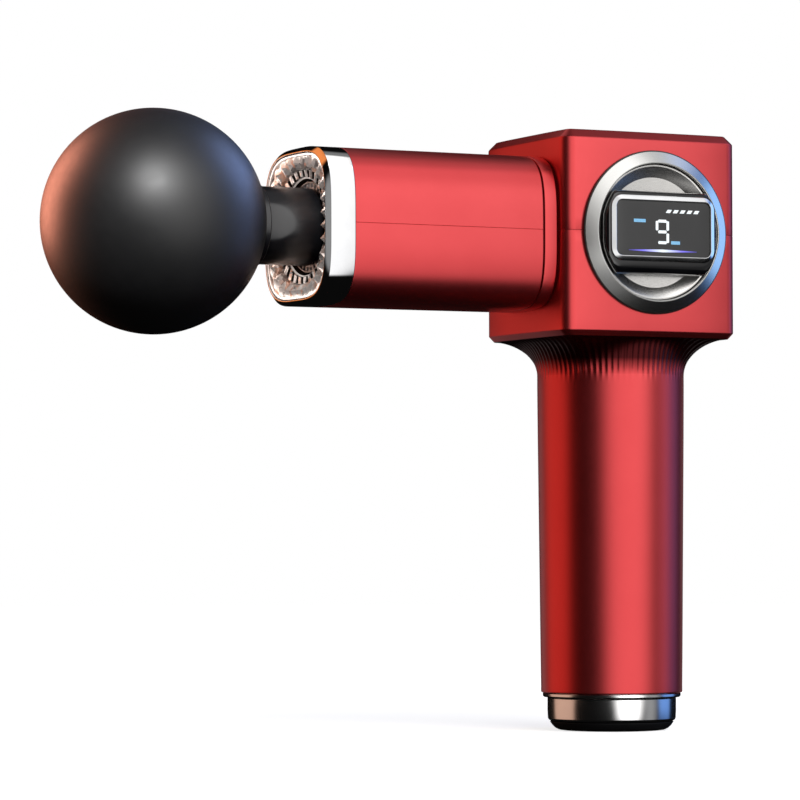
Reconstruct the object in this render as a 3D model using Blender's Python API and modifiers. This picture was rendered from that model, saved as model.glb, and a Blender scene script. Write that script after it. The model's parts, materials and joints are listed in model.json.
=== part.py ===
"""Massage gun: a cube-shaped motor head on a round battery handle, with a square-round
barrel that drives a plug-in ball head, and a round twist-and-press display dial.

Units are metres. The origin is the centre of the handle's flat foot, +Z runs up the
handle, the barrel and the ball point to -X, and the display dial faces -Y.
"""
import math

import bmesh
import bpy
from mathutils import Matrix, Vector

MM = 0.001
GAP = 0.3 * MM                  # air between two pieces that touch on the real object

# Handle
TUBE_BOTTOM_Z = 9.3 * MM
TUBE_BOTTOM_R = 17.65 * MM
TUBE_TOP_R = 18.35 * MM
TUBE_WALL = 1.75 * MM
FLARE_START_Z = 88.2 * MM
FLARE_END_Z = 97.2 * MM

# Cube-shaped motor head
HEAD_HALF_X = 24.85 * MM
HEAD_HALF_Y = 21.65 * MM
HEAD_SIDE_LOW_Z = 98.6 * MM     # where the upright sides start, above the low chamfer
HEAD_LOW_CHAMFER = 1.3 * MM
HEAD_TOP_Z = 147.85 * MM
HEAD_TOP_CHAMFER = 2.1 * MM
HEAD_CORNER_R = 3.1 * MM
HEAD_WALL = 2.0 * MM
AXIS_Z = 122.95 * MM            # height of the barrel, motor and dial axes

# Barrel, a superellipse section
BARREL_HALF_Y = 18.3 * MM
BARREL_HALF_Z = 19.05 * MM
BARREL_POWER = 3.7
BARREL_WALL = 1.8 * MM
COLLAR_LENGTH = 3.4 * MM
GROOVE = 0.5 * MM
FRONT_RING_BACK_X = -79.8 * MM
FRONT_X = -87.3 * MM
FRONT_BEVEL = 1.1 * MM
GRILLE_HOLE_R = 11.7 * MM

# Crank drive
STROKE = 10.0 * MM
CRANK_R = STROKE / 2
ROD_LENGTH = 42.0 * MM
MOTOR_X = 2.0 * MM
CRANK_PIN_X = MOTOR_X + CRANK_R          # stored at the retracted dead centre
WRIST_X = CRANK_PIN_X - ROD_LENGTH
CRANK_PIN_R = 4.0 * MM
WRIST_PIN_R = 2.0 * MM
ROD_THICK = 4.6 * MM
SHAFT_R = 2.5 * MM

# Plunger and ball head
PLUNGER_R = 11.0 * MM
PLUNGER_FRONT_X = -83.7 * MM
PLUNGER_BACK_X = -28.0 * MM
SOCKET_R = 8.2 * MM
SOCKET_BOTTOM_X = -61.0 * MM
NECK_R = 9.4 * MM
BALL_R = 26.85 * MM
BALL_X = -124.2 * MM
BALL_SEAT_X = -99.4 * MM

# Display dial, measured outwards from the handle's mid plane along -Y
DIAL_X = 0.4 * MM
BEZEL_R = 20.2 * MM
BEZEL_BORE_R = 16.85 * MM
BEZEL_FRONT = 23.8 * MM
DISH_R = 16.4 * MM
DISH_FLOOR_R = 14.1 * MM
DISH_FLOOR = 21.0 * MM
DISH_FRONT = 23.1 * MM
BAR_TOP = 25.5 * MM
SCREEN_HALF_X = 13.05 * MM
SCREEN_HALF_Z = 6.5 * MM
SCREEN_RISE = 0.6 * MM          # height of the screen's centre above the dial's axis

# Handle's inside and its foot
CELL_R = 7.0 * MM
CELL_LENGTH = 50.0 * MM
CELL_BOTTOM_Z = 30.0 * MM
CELL_RING_R = 8.3 * MM
BAND_R = 16.05 * MM
BAND_TOP_Z = 8.05 * MM
BAND_BOTTOM_Z = 2.4 * MM
PORT_Z = 5.2 * MM

SEGMENTS = 32                   # around a large turned piece
SMALL_SEGMENTS = 16             # around a small turned piece
CORNER_STEPS = 3
BARREL_STEPS = 36               # around the barrel's section
SIDE_STEPS = (7, 6)             # along the head's sides that face X, and those that face Y
MERGE = 0.00001

AXES = {
    "+Z": (0.0, 0.0, 0.0),
    "+X": (0.0, math.radians(90), 0.0),
    "-X": (0.0, math.radians(-90), 0.0),
    "+Y": (math.radians(-90), 0.0, 0.0),
    "-Y": (math.radians(90), 0.0, 0.0),
}
# Colour, metallic and roughness of each finish
FINISHES = {
    "red_anodised": ((0.66, 0.02, 0.03), 0.9, 0.33),
    "chrome": ((0.86, 0.86, 0.88), 1.0, 0.08),
    "brushed_steel": ((0.62, 0.61, 0.60), 1.0, 0.35),
    "crystal": ((0.85, 0.74, 0.70), 0.7, 0.2),
    "black_rubber": ((0.012, 0.012, 0.014), 0.0, 0.6),
    "black_plastic": ((0.02, 0.02, 0.022), 0.0, 0.45),
    "gloss_black": ((0.006, 0.006, 0.008), 0.0, 0.08),
    "screen_glass": ((0.03, 0.03, 0.034), 0.0, 0.12),
    "steel": ((0.5, 0.5, 0.52), 1.0, 0.3),
    "copper": ((0.7, 0.3, 0.15), 1.0, 0.35),
    "brass": ((0.75, 0.58, 0.25), 1.0, 0.3),
    "board_green": ((0.02, 0.16, 0.07), 0.0, 0.5),
    "cell_wrap": ((0.05, 0.16, 0.5), 0.0, 0.4),
    "white_nylon": ((0.75, 0.75, 0.72), 0.0, 0.5),
}


# ---------------------------------------------------------------- basic tools

def clear_scene():
    for obj in list(bpy.data.objects):
        bpy.data.objects.remove(obj, do_unlink=True)


def new_collection(name):
    collection = bpy.data.collections.new(name)
    bpy.context.scene.collection.children.link(collection)
    return collection


def finish(name):
    """The Principled material of a finish, made once."""
    if name in bpy.data.materials:
        return bpy.data.materials[name]
    colour, metallic, roughness = FINISHES[name]
    material = bpy.data.materials.new(name)
    material.use_nodes = True
    shader = material.node_tree.nodes["Principled BSDF"]
    shader.inputs["Base Color"].default_value = (*colour, 1.0)
    shader.inputs["Metallic"].default_value = metallic
    shader.inputs["Roughness"].default_value = roughness
    material.diffuse_color = (*colour, 1.0)
    return material


def add_object(name, data, material):
    """Links mesh data as a part, or as a cutter where it has no finish."""
    obj = bpy.data.objects.new(name, data)
    if material is None:
        CUTTERS.objects.link(obj)
        obj.hide_render = True
        obj.display_type = "WIRE"
        return obj
    PARTS.objects.link(obj)
    data.materials.append(finish(material))
    return obj


def in_mm(points):
    """Points written in millimetres, as metres."""
    return [(x * MM, y * MM) for x, y in points]


def aim(obj, axis, location):
    obj.rotation_euler = AXES[axis]
    obj.location = location
    return obj


def turned(name, profile, material, axis="+Z", location=(0, 0, 0), segments=SEGMENTS):
    """Revolves (radius, height) points that run down the outer side of the shape.

    A profile that starts and ends on the axis makes a solid; any other one is closed
    into a loop and makes a ring.
    """
    mesh = bpy.data.meshes.new(name)
    points = [(radius, 0.0, height) for radius, height in profile]
    edges = [(i, i + 1) for i in range(len(points) - 1)]
    if profile[0][0] > 0:
        edges.append((len(points) - 1, 0))
    mesh.from_pydata(points, edges, [])
    obj = add_object(name, mesh, material)
    screw = obj.modifiers.new("turn", "SCREW")
    screw.steps = segments
    screw.render_steps = segments
    screw.use_merge_vertices = True
    screw.merge_threshold = MERGE
    screw.use_smooth_shade = True
    return aim(obj, axis, location)


def rod_shape(name, radius, low, high, material, axis, location=(0, 0, 0),
              segments=SMALL_SEGMENTS):
    """A plain round bar between two heights on its axis."""
    profile = [(0, high), (radius, high), (radius, low), (0, low)]
    return turned(name, profile, material, axis, location, segments)


def ring_shape(name, outer, inner, low, high, material, axis, location=(0, 0, 0),
               segments=SEGMENTS):
    """A plain round ring between two heights on its axis."""
    profile = [(inner, high), (outer, high), (outer, low), (inner, low)]
    return turned(name, profile, material, axis, location, segments)


def block(name, low, high, material):
    """A box between two corners."""
    size = Vector(high) - Vector(low)
    middle = (Vector(high) + Vector(low)) / 2
    mesh = bpy.data.meshes.new(name)
    bm = bmesh.new()
    bmesh.ops.create_cube(bm, size=1.0, matrix=Matrix.Diagonal((*size, 1.0)))
    bm.to_mesh(mesh)
    bm.free()
    obj = add_object(name, mesh, material)
    obj.location = middle
    return obj


def many_blocks(name, boxes, material):
    """Several separate boxes in one object, each given by its size and its matrix."""
    mesh = bpy.data.meshes.new(name)
    bm = bmesh.new()
    for size, matrix in boxes:
        bmesh.ops.create_cube(bm, size=1.0, matrix=matrix @ Matrix.Diagonal((*size, 1.0)))
    bm.to_mesh(mesh)
    bm.free()
    return add_object(name, mesh, material)


def many_rods(name, rods, count=12):
    """Separate round bars along Y in one cutter, each (radius, low y, high y, (x, z))."""
    mesh = bpy.data.meshes.new(name)
    bm = bmesh.new()
    for radius, low, high, (x, z) in rods:
        place = Matrix.Translation((x, (low + high) / 2, z)) @ Matrix.Rotation(
            math.radians(90), 4, "X")
        bmesh.ops.create_cone(bm, cap_ends=True, segments=count, radius1=radius,
                              radius2=radius, depth=high - low, matrix=place)
    bm.to_mesh(mesh)
    bm.free()
    return add_object(name, mesh, None)


def plate(name, outlines, low, high, material, axis="+Z", location=(0, 0, 0)):
    """A flat outline with its holes, given thickness between two heights."""
    curve = bpy.data.curves.new(name, "CURVE")
    curve.dimensions = "2D"
    curve.fill_mode = "BOTH"
    curve.extrude = (high - low) / 2
    for outline in outlines:
        spline = curve.splines.new("POLY")
        spline.points.add(len(outline) - 1)
        for point, (x, y) in zip(spline.points, outline):
            point.co = (x, y, 0.0, 1.0)
        spline.use_cyclic_u = True
    shape = bpy.data.objects.new(name + "_outline", curve)
    bpy.context.scene.collection.objects.link(shape)
    obj = as_mesh(name, shape, material)
    for vertex in obj.data.vertices:
        vertex.co.z += (high + low) / 2
    return aim(obj, axis, location)


def as_mesh(name, curve_object, material):
    """Makes a curve a welded mesh object and removes the curve."""
    depsgraph = bpy.context.evaluated_depsgraph_get()
    mesh = bpy.data.meshes.new_from_object(curve_object.evaluated_get(depsgraph))
    bm = bmesh.new()
    bm.from_mesh(mesh)
    bmesh.ops.remove_doubles(bm, verts=bm.verts, dist=MERGE)
    bm.to_mesh(mesh)
    bm.free()
    mesh.materials.clear()
    obj = add_object(name, mesh, material)
    obj.matrix_world = curve_object.matrix_world
    bpy.data.objects.remove(curve_object, do_unlink=True)
    return obj


def lead(name, points, radius, material):
    """A round lead through points, with closed ends."""
    curve = bpy.data.curves.new(name, "CURVE")
    curve.dimensions = "3D"
    curve.bevel_depth = radius
    curve.bevel_resolution = 1
    curve.use_fill_caps = True
    spline = curve.splines.new("POLY")
    spline.points.add(len(points) - 1)
    for point, place in zip(spline.points, points):
        point.co = (*place, 1.0)
    shape = bpy.data.objects.new(name + "_path", curve)
    bpy.context.scene.collection.objects.link(shape)
    return as_mesh(name, shape, material)


def loft(name, rings, material, closed=False):
    """Skins rings of points; a closed loft joins the last ring to the first."""
    mesh = bpy.data.meshes.new(name)
    bm = bmesh.new()
    rows = [[bm.verts.new(point) for point in ring] for ring in rings]
    count = len(rows[0])
    pairs = list(zip(rows, rows[1:]))
    if closed:
        pairs.append((rows[-1], rows[0]))
    for lower, upper in pairs:
        for i in range(count):
            k = (i + 1) % count
            bm.faces.new((lower[i], lower[k], upper[k], upper[i]))
    if not closed:
        bm.faces.new(list(reversed(rows[0])))
        bm.faces.new(rows[-1])
    bmesh.ops.recalc_face_normals(bm, faces=bm.faces)
    bm.to_mesh(mesh)
    bm.free()
    mesh.shade_smooth()
    mesh.set_sharp_from_angle(angle=math.radians(30))
    return add_object(name, mesh, material)


def combine(obj, tool, operation="DIFFERENCE"):
    modifier = obj.modifiers.new(operation.lower(), "BOOLEAN")
    modifier.operation = operation
    modifier.object = tool
    modifier.solver = "EXACT"
    return obj


# ---------------------------------------------------------------- outlines

def circle(radius, count=SMALL_SEGMENTS, centre=(0.0, 0.0)):
    steps = [2 * math.pi * i / count for i in range(count)]
    return [(centre[0] + radius * math.cos(a), centre[1] + radius * math.sin(a))
            for a in steps]


def arc(centre, radius, start, end, count):
    """Points on an arc between two angles in degrees, both ends included."""
    angles = [math.radians(start + (end - start) * i / count) for i in range(count + 1)]
    return [(centre[0] + radius * math.cos(a), centre[1] + radius * math.sin(a))
            for a in angles]


def rounded_rectangle(half_x, half_y, radius, steps=CORNER_STEPS):
    points = []
    for sx, sy, start in ((1, 1, 0), (-1, 1, 90), (-1, -1, 180), (1, -1, 270)):
        centre = (sx * (half_x - radius), sy * (half_y - radius))
        points += arc(centre, radius, start, start + 90, steps)
    return points


def superellipse(half_a, half_b, power=BARREL_POWER, count=BARREL_STEPS):
    """Points of a superellipse at even steps of its own angle."""
    points = []
    for i in range(count):
        angle = 2 * math.pi * i / count
        c, s = math.cos(angle), math.sin(angle)
        a = math.copysign(abs(c) ** (2 / power), c)
        b = math.copysign(abs(s) ** (2 / power), s)
        points.append((half_a * a, half_b * b))
    return points


def head_outline(inset=0.0):
    """The head's rounded square, with extra points along its straight sides."""
    half_x = HEAD_HALF_X - inset
    half_y = HEAD_HALF_Y - inset
    radius = max(HEAD_CORNER_R - inset, 0.8 * MM)
    corner_x = half_x - radius
    corner_y = half_y - radius
    angle_x = math.atan2(corner_y, half_x)
    angle_y = math.atan2(corner_x, half_y)
    points = []
    for side in range(4):
        turn = side * 90
        facing_x = side % 2 == 0
        limit = angle_x if facing_x else angle_y
        reach = half_x if facing_x else half_y
        steps = SIDE_STEPS[side % 2]
        for i in range(1, steps):
            along = reach * math.tan(limit * (2 * i / steps - 1))
            points.append(turned_point(reach, along, turn))
        first = (corner_x, corner_y) if facing_x else (corner_y, corner_x)
        for x, y in arc(first, radius, 0, 90, CORNER_STEPS):
            points.append(turned_point(x, y, turn))
    return points


def turned_point(x, y, degrees):
    """Turns a point about the origin by a multiple of 90 degrees."""
    quarter = (degrees // 90) % 4
    return ((x, y), (-y, x), (-x, -y), (y, -x))[quarter]


def head_section(z, radius, blend, inset):
    """A section that goes from a circle (blend 0) to the head's outline (blend 1)."""
    square = head_outline(inset)
    ring = []
    for (x, y), (fx, fy) in zip(square, head_outline()):
        angle = math.atan2(fy, fx)
        round_x = radius * math.cos(angle)
        round_y = radius * math.sin(angle)
        ring.append((round_x + (x - round_x) * blend, round_y + (y - round_y) * blend, z))
    return ring


def flare_sections(radius, inset, rise, steps=6):
    """The concave flare between the round handle and the square head."""
    rings = []
    for i in range(steps + 1):
        s = math.sin(math.radians(90 * i / steps))
        blend = 1 - (1 - s * s) ** (1 / 1.7)
        z = FLARE_START_Z + (FLARE_END_Z - FLARE_START_Z) * s + rise
        rings.append(head_section(z, radius, blend, inset))
    return rings


def barrel_rings(profile):
    """Rings of the barrel's section, each at an (x, inset) point of a profile."""
    rings = []
    for x, inset in profile:
        outline = superellipse(BARREL_HALF_Y - inset, BARREL_HALF_Z - inset)
        rings.append([(x, y, AXIS_Z + z) for y, z in outline])
    return rings


# ---------------------------------------------------------------- casing

def head_inside():
    """The hollow of the handle and the head, used as a cutter for both shells."""
    radius_low = TUBE_BOTTOM_R - TUBE_WALL
    radius_high = TUBE_TOP_R - TUBE_WALL
    low_z = TUBE_BOTTOM_Z - 2 * MM
    rings = [head_section(low_z, radius_low, 0, 0)]
    rings += flare_sections(radius_high, HEAD_WALL, 1.9 * MM)
    top_z = HEAD_TOP_Z - HEAD_WALL
    rings.append(head_section(top_z, radius_high, 1, HEAD_WALL))
    return loft("head_hollow", rings, None)


def mount_places():
    """Centres (x, z) of the motor mount's four screws."""
    reach = 16.5 * MM
    return [(MOTOR_X + sx * reach, AXIS_Z + sz * reach) for sz in (1, -1) for sx in (-1, 1)]


def add_posts(shell, upper):
    """Joins the screw bosses behind the motor and the board posts behind the dial."""
    sign = 1 if upper else -1
    posts = []
    holes = []
    for x, z in mount_places():
        if (z - AXIS_Z) * sign > 0:
            posts.append((3.0 * MM, 17.7 * MM, 20.6 * MM, (x, z)))
            holes.append((1.8 * MM, 16.0 * MM, 20.9 * MM, (x, z)))
    for sx in (-1, 1):
        place = (sx * 19.0 * MM, AXIS_Z + sign * 15.5 * MM)
        posts.append((1.8 * MM, -20.6 * MM, -12.6 * MM, place))
    combine(shell, many_rods(shell.name + "_posts", posts), "UNION")
    combine(shell, many_rods(shell.name + "_holes", holes))


def head_shells():
    """The casing's lower shell with the handle tube, and its upper shell."""
    hollow = head_inside()
    barrel_way = loft("barrel_way", barrel_rings([(-30 * MM, 1.9 * MM), (-20 * MM, 1.9 * MM)]),
                      None)
    dial_way = rod_shape("dial_way", 19.3 * MM, 18 * MM, 24 * MM, None, "-Y",
                         (DIAL_X, 0, AXIS_Z), SEGMENTS)
    inset = HEAD_LOW_CHAMFER
    lower = [head_section(TUBE_BOTTOM_Z, TUBE_BOTTOM_R, 0, 0)]
    lower += flare_sections(TUBE_TOP_R, inset, 0)
    lower.append(head_section(HEAD_SIDE_LOW_Z, TUBE_TOP_R, 1, 0))
    lower.append(head_section(AXIS_Z - GAP / 2, TUBE_TOP_R, 1, 0))
    upper = [head_section(AXIS_Z + GAP / 2, TUBE_TOP_R, 1, 0)]
    upper.append(head_section(HEAD_TOP_Z - HEAD_TOP_CHAMFER, TUBE_TOP_R, 1, 0))
    upper.append(head_section(HEAD_TOP_Z, TUBE_TOP_R, 1, HEAD_TOP_CHAMFER))
    for name, rings in (("head_shell_lower", lower), ("head_shell_upper", upper)):
        shell = loft(name, rings, "red_anodised")
        combine(shell, hollow)
        combine(shell, barrel_way)
        combine(shell, dial_way)
        add_posts(shell, name == "head_shell_upper")


def barrel_casing():
    """Collar, two barrel shells, the neck sleeve inside them and the chrome front ring."""
    root_x = -HEAD_HALF_X - GAP
    collar_x = root_x - COLLAR_LENGTH
    shell_x = collar_x - GROOVE
    collar = [(root_x, 0), (collar_x, 0), (collar_x, BARREL_WALL), (root_x, BARREL_WALL)]
    loft("barrel_collar", barrel_rings(collar), "red_anodised", closed=True)

    front_x = FRONT_RING_BACK_X + GAP
    tube = [(shell_x, 0), (front_x, 0), (front_x, BARREL_WALL), (shell_x, BARREL_WALL)]
    for name, side in (("barrel_shell_upper", -1), ("barrel_shell_lower", 1)):
        shell = loft(name, barrel_rings(tube), "red_anodised", closed=True)
        edge = AXIS_Z - side * GAP / 2
        far = AXIS_Z + side * 30 * MM
        half = block(name + "_cut", (-95 * MM, -30 * MM, min(edge, far)),
                     (-20 * MM, 30 * MM, max(edge, far)), None)
        combine(shell, half)

    outer = BARREL_WALL + GAP
    inner = outer + 1.5 * MM
    flange_x = -HEAD_HALF_X + HEAD_WALL + GAP
    flange_end = flange_x + 1.6 * MM
    neck = [(flange_end, 0), (flange_x, 0), (flange_x, outer), (-34 * MM, outer),
            (-34 * MM, inner), (flange_end, inner)]
    loft("neck_sleeve", barrel_rings(neck), "steel", closed=True)

    spigot_x = -76.5 * MM
    ring = [(FRONT_RING_BACK_X, 0), (FRONT_X + FRONT_BEVEL, 0), (FRONT_X, FRONT_BEVEL),
            (FRONT_X, FRONT_BEVEL + 0.2 * MM), (-81.0 * MM, FRONT_BEVEL + 0.2 * MM),
            (-81.0 * MM, 3.3 * MM), (spigot_x, 3.3 * MM), (spigot_x, outer),
            (FRONT_RING_BACK_X, outer)]
    loft("front_ring", barrel_rings(ring), "chrome", closed=True)


def vent_grille():
    """The dished grille in the front ring: a round hole and rows of radial slots."""
    rim = FRONT_BEVEL + 0.2 * MM + GAP
    # (x, share of the way from the rim to the hole)
    front = [(-86.9, 0.0), (-86.9, 0.12), (-85.6, 0.5), (-84.6, 1.0)]
    back = [(-82.4, 1.0), (-83.9, 0.5), (-85.0, 0.12), (-85.0, 0.0)]
    rings = []
    for x, share in front + back:
        outline = superellipse(BARREL_HALF_Y - rim, BARREL_HALF_Z - rim)
        ring = []
        for y, z in outline:
            angle = math.atan2(z, y)
            hole_y = GRILLE_HOLE_R * math.cos(angle)
            hole_z = GRILLE_HOLE_R * math.sin(angle)
            ring.append((x * MM, y + (hole_y - y) * share, AXIS_Z + z + (hole_z - z) * share))
        rings.append(ring)
    grille = loft("vent_grille", rings, "crystal", closed=True)
    slots = []
    for i in range(16):
        turn = Matrix.Translation((-84.6 * MM, 0, AXIS_Z)) @ Matrix.Rotation(
            2 * math.pi * (i + 0.5) / 16, 4, "X")
        size = (6 * MM, 2.6 * MM, 1.3 * MM)
        slots.append((size, turn @ Matrix.Translation((0, 14.2 * MM, 0))))
    combine(grille, many_blocks("grille_slots", slots, None))


# ---------------------------------------------------------------- drive

def motor():
    """An outer-rotor motor on the +Y side of the head, with its mount and bearings."""
    place = (MOTOR_X, 0, AXIS_Z)
    holes = [circle(1.8 * MM, 12, (x - MOTOR_X, AXIS_Z - z)) for x, z in mount_places()]
    outline = rounded_rectangle(20 * MM, 20 * MM, 4 * MM)
    mount = plate("motor_mount", [outline] + holes, 15.6 * MM, 17.4 * MM, "steel", "+Y", place)
    tube = rod_shape("mount_tube", 6.5 * MM, 7.3 * MM, 16.5 * MM, None, "+Y", place, 24)
    bore = rod_shape("mount_bore", 5.3 * MM, 6 * MM, 19 * MM, None, "+Y", place, 24)
    combine(mount, tube, "UNION")
    combine(mount, bore)

    teeth = 9
    core = []
    for i in range(teeth):
        turn = 2 * math.pi * i / teeth
        for radius, half in ((8.9, 1.3), (14.4, 1.3), (14.9, 4.2), (15.8, 4.3),
                             (15.8, -4.3), (14.9, -4.2), (14.4, -1.3), (8.9, -1.3)):
            angle = turn - math.asin(half / radius)
            core.append((radius * MM * math.cos(angle), radius * MM * math.sin(angle)))
    plate("stator_core", [core, circle(6.8 * MM, 24)], 8.4 * MM, 13.4 * MM, "steel", "+Y", place)

    windings = ring_shape("stator_windings", 11.6 * MM, 9.6 * MM, 13.8 * MM, 14.6 * MM, "copper",
                          "+Y", place, 27)
    coils = []
    ways = []
    for i in range(teeth):
        turn = Matrix.Translation(place) @ Matrix.Rotation(-2 * math.pi * i / teeth, 4, "Y")
        middle = turn @ Matrix.Translation((11.7 * MM, 10.9 * MM, 0))
        coils.append(((4.6 * MM, 6.6 * MM, 5.0 * MM), middle))
        ways.append(((7 * MM, 5.6 * MM, 3.2 * MM), middle))
    combine(windings, many_blocks("coils", coils, None), "UNION")
    combine(windings, many_blocks("coil_ways", ways, None))

    bell = [(2.8, 6.5), (17.8, 6.5), (17.8, 14.9), (19.0, 14.9), (19.0, 5.3), (2.8, 5.3)]
    turned("rotor_bell", in_mm(bell), "brushed_steel", "+Y", place)
    ring_shape("rotor_magnets", 17.5 * MM, 16.2 * MM, 7.8 * MM, 14.2 * MM, "steel", "+Y",
               place)
    rod_shape("motor_shaft", SHAFT_R, 2.7 * MM, 17.2 * MM, "steel", "+Y", place)
    for name, low in (("bearing_front", 7.7 * MM), ("bearing_rear", 13.4 * MM)):
        high = low + 3.5 * MM
        ring_shape(name + "_outer", 5.0 * MM, 4.2 * MM, low, high, "steel", "+Y", place,
                   SMALL_SEGMENTS)
        ring_shape(name + "_inner", 3.6 * MM, SHAFT_R + GAP, low, high, "steel", "+Y", place,
                   SMALL_SEGMENTS)
    for i, (x, z) in enumerate(mount_places()):
        screw = [(0, 20.3), (1.5, 20.3), (1.5, 15.3), (2.6, 15.3), (2.6, 13.9), (0, 13.9)]
        turned(f"motor_screw_{i + 1}", in_mm(screw), "steel", "+Y", (x, 0, z), 12)


def crank():
    """Counterweighted eccentric, crank pin, rod and its big-end bearing."""
    place = (MOTOR_X, 0, AXIS_Z)
    outline = arc((0, 0), 17.0 * MM, 105, 255, 14) + arc((0, 0), 10.5 * MM, 255, 465, 20)
    holes = [circle(SHAFT_R + GAP), circle(2.0 * MM, 12, (CRANK_R, 0))]
    plate("eccentric_counterweight", [outline] + holes, 2.6 * MM, 5.0 * MM, "brass", "+Y", place)

    half = ROD_THICK / 2
    pin_place = (CRANK_PIN_X, 0, AXIS_Z)
    pin = [(0, half), (CRANK_PIN_R, half), (CRANK_PIN_R, -half - GAP), (5.2 * MM, -half - GAP),
           (5.2 * MM, -4.4 * MM), (0, -4.4 * MM)]
    turned("crank_pin", pin, "steel", "+Y", pin_place, SMALL_SEGMENTS)
    ring_shape("bigend_bearing_inner", 5.6 * MM, CRANK_PIN_R + GAP, -half, half, "steel", "+Y",
               pin_place, SMALL_SEGMENTS)
    ring_shape("bigend_bearing_outer", 8.0 * MM, 6.4 * MM, -half, half, "steel", "+Y",
               pin_place, 24)

    small_r = 5.0 * MM
    big_r = 10.4 * MM
    lean = math.degrees(math.acos((big_r - small_r) / ROD_LENGTH))
    outline = arc((0, 0), big_r, -(180 - lean), 180 - lean, 20)
    outline += arc((-ROD_LENGTH, 0), small_r, 180 - lean, 180 + lean, 10)
    holes = [circle(8.3 * MM, 24), circle(WRIST_PIN_R + GAP, 16, (-ROD_LENGTH, 0))]
    rod = plate("connecting_rod", [outline] + holes, -half, half, "steel", "+Y", pin_place)
    window = many_blocks("rod_window", [((13 * MM, 10 * MM, 4.5 * MM), Matrix.Translation(
        (CRANK_PIN_X - 23 * MM, 0, AXIS_Z)))], None)
    combine(rod, window)


def plunger_unit():
    """The plunger in its guide, the wrist pin and the rubber rings that hold the guide."""
    place = (0, 0, AXIS_Z)
    front = -PLUNGER_FRONT_X
    back = -PLUNGER_BACK_X
    socket = -SOCKET_BOTTOM_X
    profile = [(0, socket), (SOCKET_R, socket), (SOCKET_R, front), (PLUNGER_R - 0.6 * MM, front),
               (PLUNGER_R, front - 0.6 * MM), (PLUNGER_R, back), (8.3 * MM, back),
               (8.3 * MM, 46 * MM), (0, 46 * MM)]
    plunger = turned("plunger", profile, "black_plastic", "-X", place, 28)
    cross = rod_shape("wrist_way", WRIST_PIN_R + GAP, -14 * MM, 14 * MM, None, "+Y",
                      (WRIST_X, 0, AXIS_Z), 16)
    combine(plunger, cross)
    rod_shape("wrist_pin", WRIST_PIN_R, -10.3 * MM, 10.3 * MM, "steel", "+Y",
              (WRIST_X, 0, AXIS_Z), 16)

    ring_shape("guide_sleeve", 13.6 * MM, 12.5 * MM, 30 * MM, 79 * MM, "steel", "-X", place, 24)
    for name, low in (("guide_bush_rear", 33 * MM), ("guide_bush_front", 70 * MM)):
        ring_shape(name, 12.2 * MM, PLUNGER_R + GAP, low, low + 8 * MM, "white_nylon", "-X",
                   place, 24)
    inset = BARREL_WALL + GAP
    for name, x in (("damper_rear", -40 * MM), ("damper_front", -70 * MM)):
        # The ring's bore is round and its rim follows the barrel.
        rim = barrel_rings([(x, inset), (x - 5 * MM, inset)])
        bore = []
        for edge in rim:
            bore.append([circle_point(point, 13.9 * MM) for point in edge])
        loft(name, [rim[0], rim[1], bore[1], bore[0]], "black_rubber", closed=True)


def circle_point(point, radius):
    """Moves a point of a barrel section onto a circle about the barrel's axis."""
    x, y, z = point
    angle = math.atan2(z - AXIS_Z, y)
    return (x, radius * math.cos(angle), AXIS_Z + radius * math.sin(angle))


def ball_head():
    """The plug-in head: a stem with grip scallops, its friction ring and the ball."""
    place = (0, 0, AXIS_Z)
    seat = -BALL_SEAT_X - GAP
    shoulder = -PLUNGER_FRONT_X + GAP
    plug_end = -SOCKET_BOTTOM_X + GAP
    profile = [(0, 112), (6.5, 112), (7.0, 111.5), (7.0, seat / MM), (10.2, seat / MM),
               (10.2, seat / MM - 1.4), (9.4, seat / MM - 1.8), (9.4, shoulder / MM),
               (7.9, shoulder / MM), (7.9, 70.0), (6.6, 70.0), (6.6, 68.2), (7.9, 68.2),
               (7.9, plug_end / MM + 0.6), (7.3, plug_end / MM), (0, plug_end / MM)]
    stem = turned("head_stem", in_mm(profile), "black_plastic", "-X", place, 32)
    scallop_r = 35 * MM
    depth = 1.2 * MM
    for side in (-1, 1):
        centre = (-99 * MM, side * (NECK_R - depth + scallop_r), AXIS_Z)
        scoop = rod_shape("scallop", scallop_r, -9 * MM, 9 * MM, None, "+Z", centre, 48)
        combine(stem, scoop)
    section = [(7.42 * MM + 0.52 * MM * math.cos(-a), 69.1 * MM + 0.52 * MM * math.sin(-a))
               for a in [2 * math.pi * i / 6 for i in range(6)]]
    turned("stem_ring", section, "black_rubber", "-X", place, 16)

    mesh = bpy.data.meshes.new("massage_ball")
    bm = bmesh.new()
    bmesh.ops.create_uvsphere(bm, u_segments=32, v_segments=16, radius=BALL_R)
    bm.to_mesh(mesh)
    bm.free()
    mesh.shade_smooth()
    ball = aim(add_object("massage_ball", mesh, "black_rubber"), "-X", (BALL_X, 0, AXIS_Z))
    bore = [(0, 112.3), (7.3, 112.3), (7.3, 99.4), (12.5, 99.4), (12.5, 92), (0, 92)]
    way = turned("ball_way", in_mm(bore), None, "-X", place, 32)
    combine(ball, way)


# ---------------------------------------------------------------- dial

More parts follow.
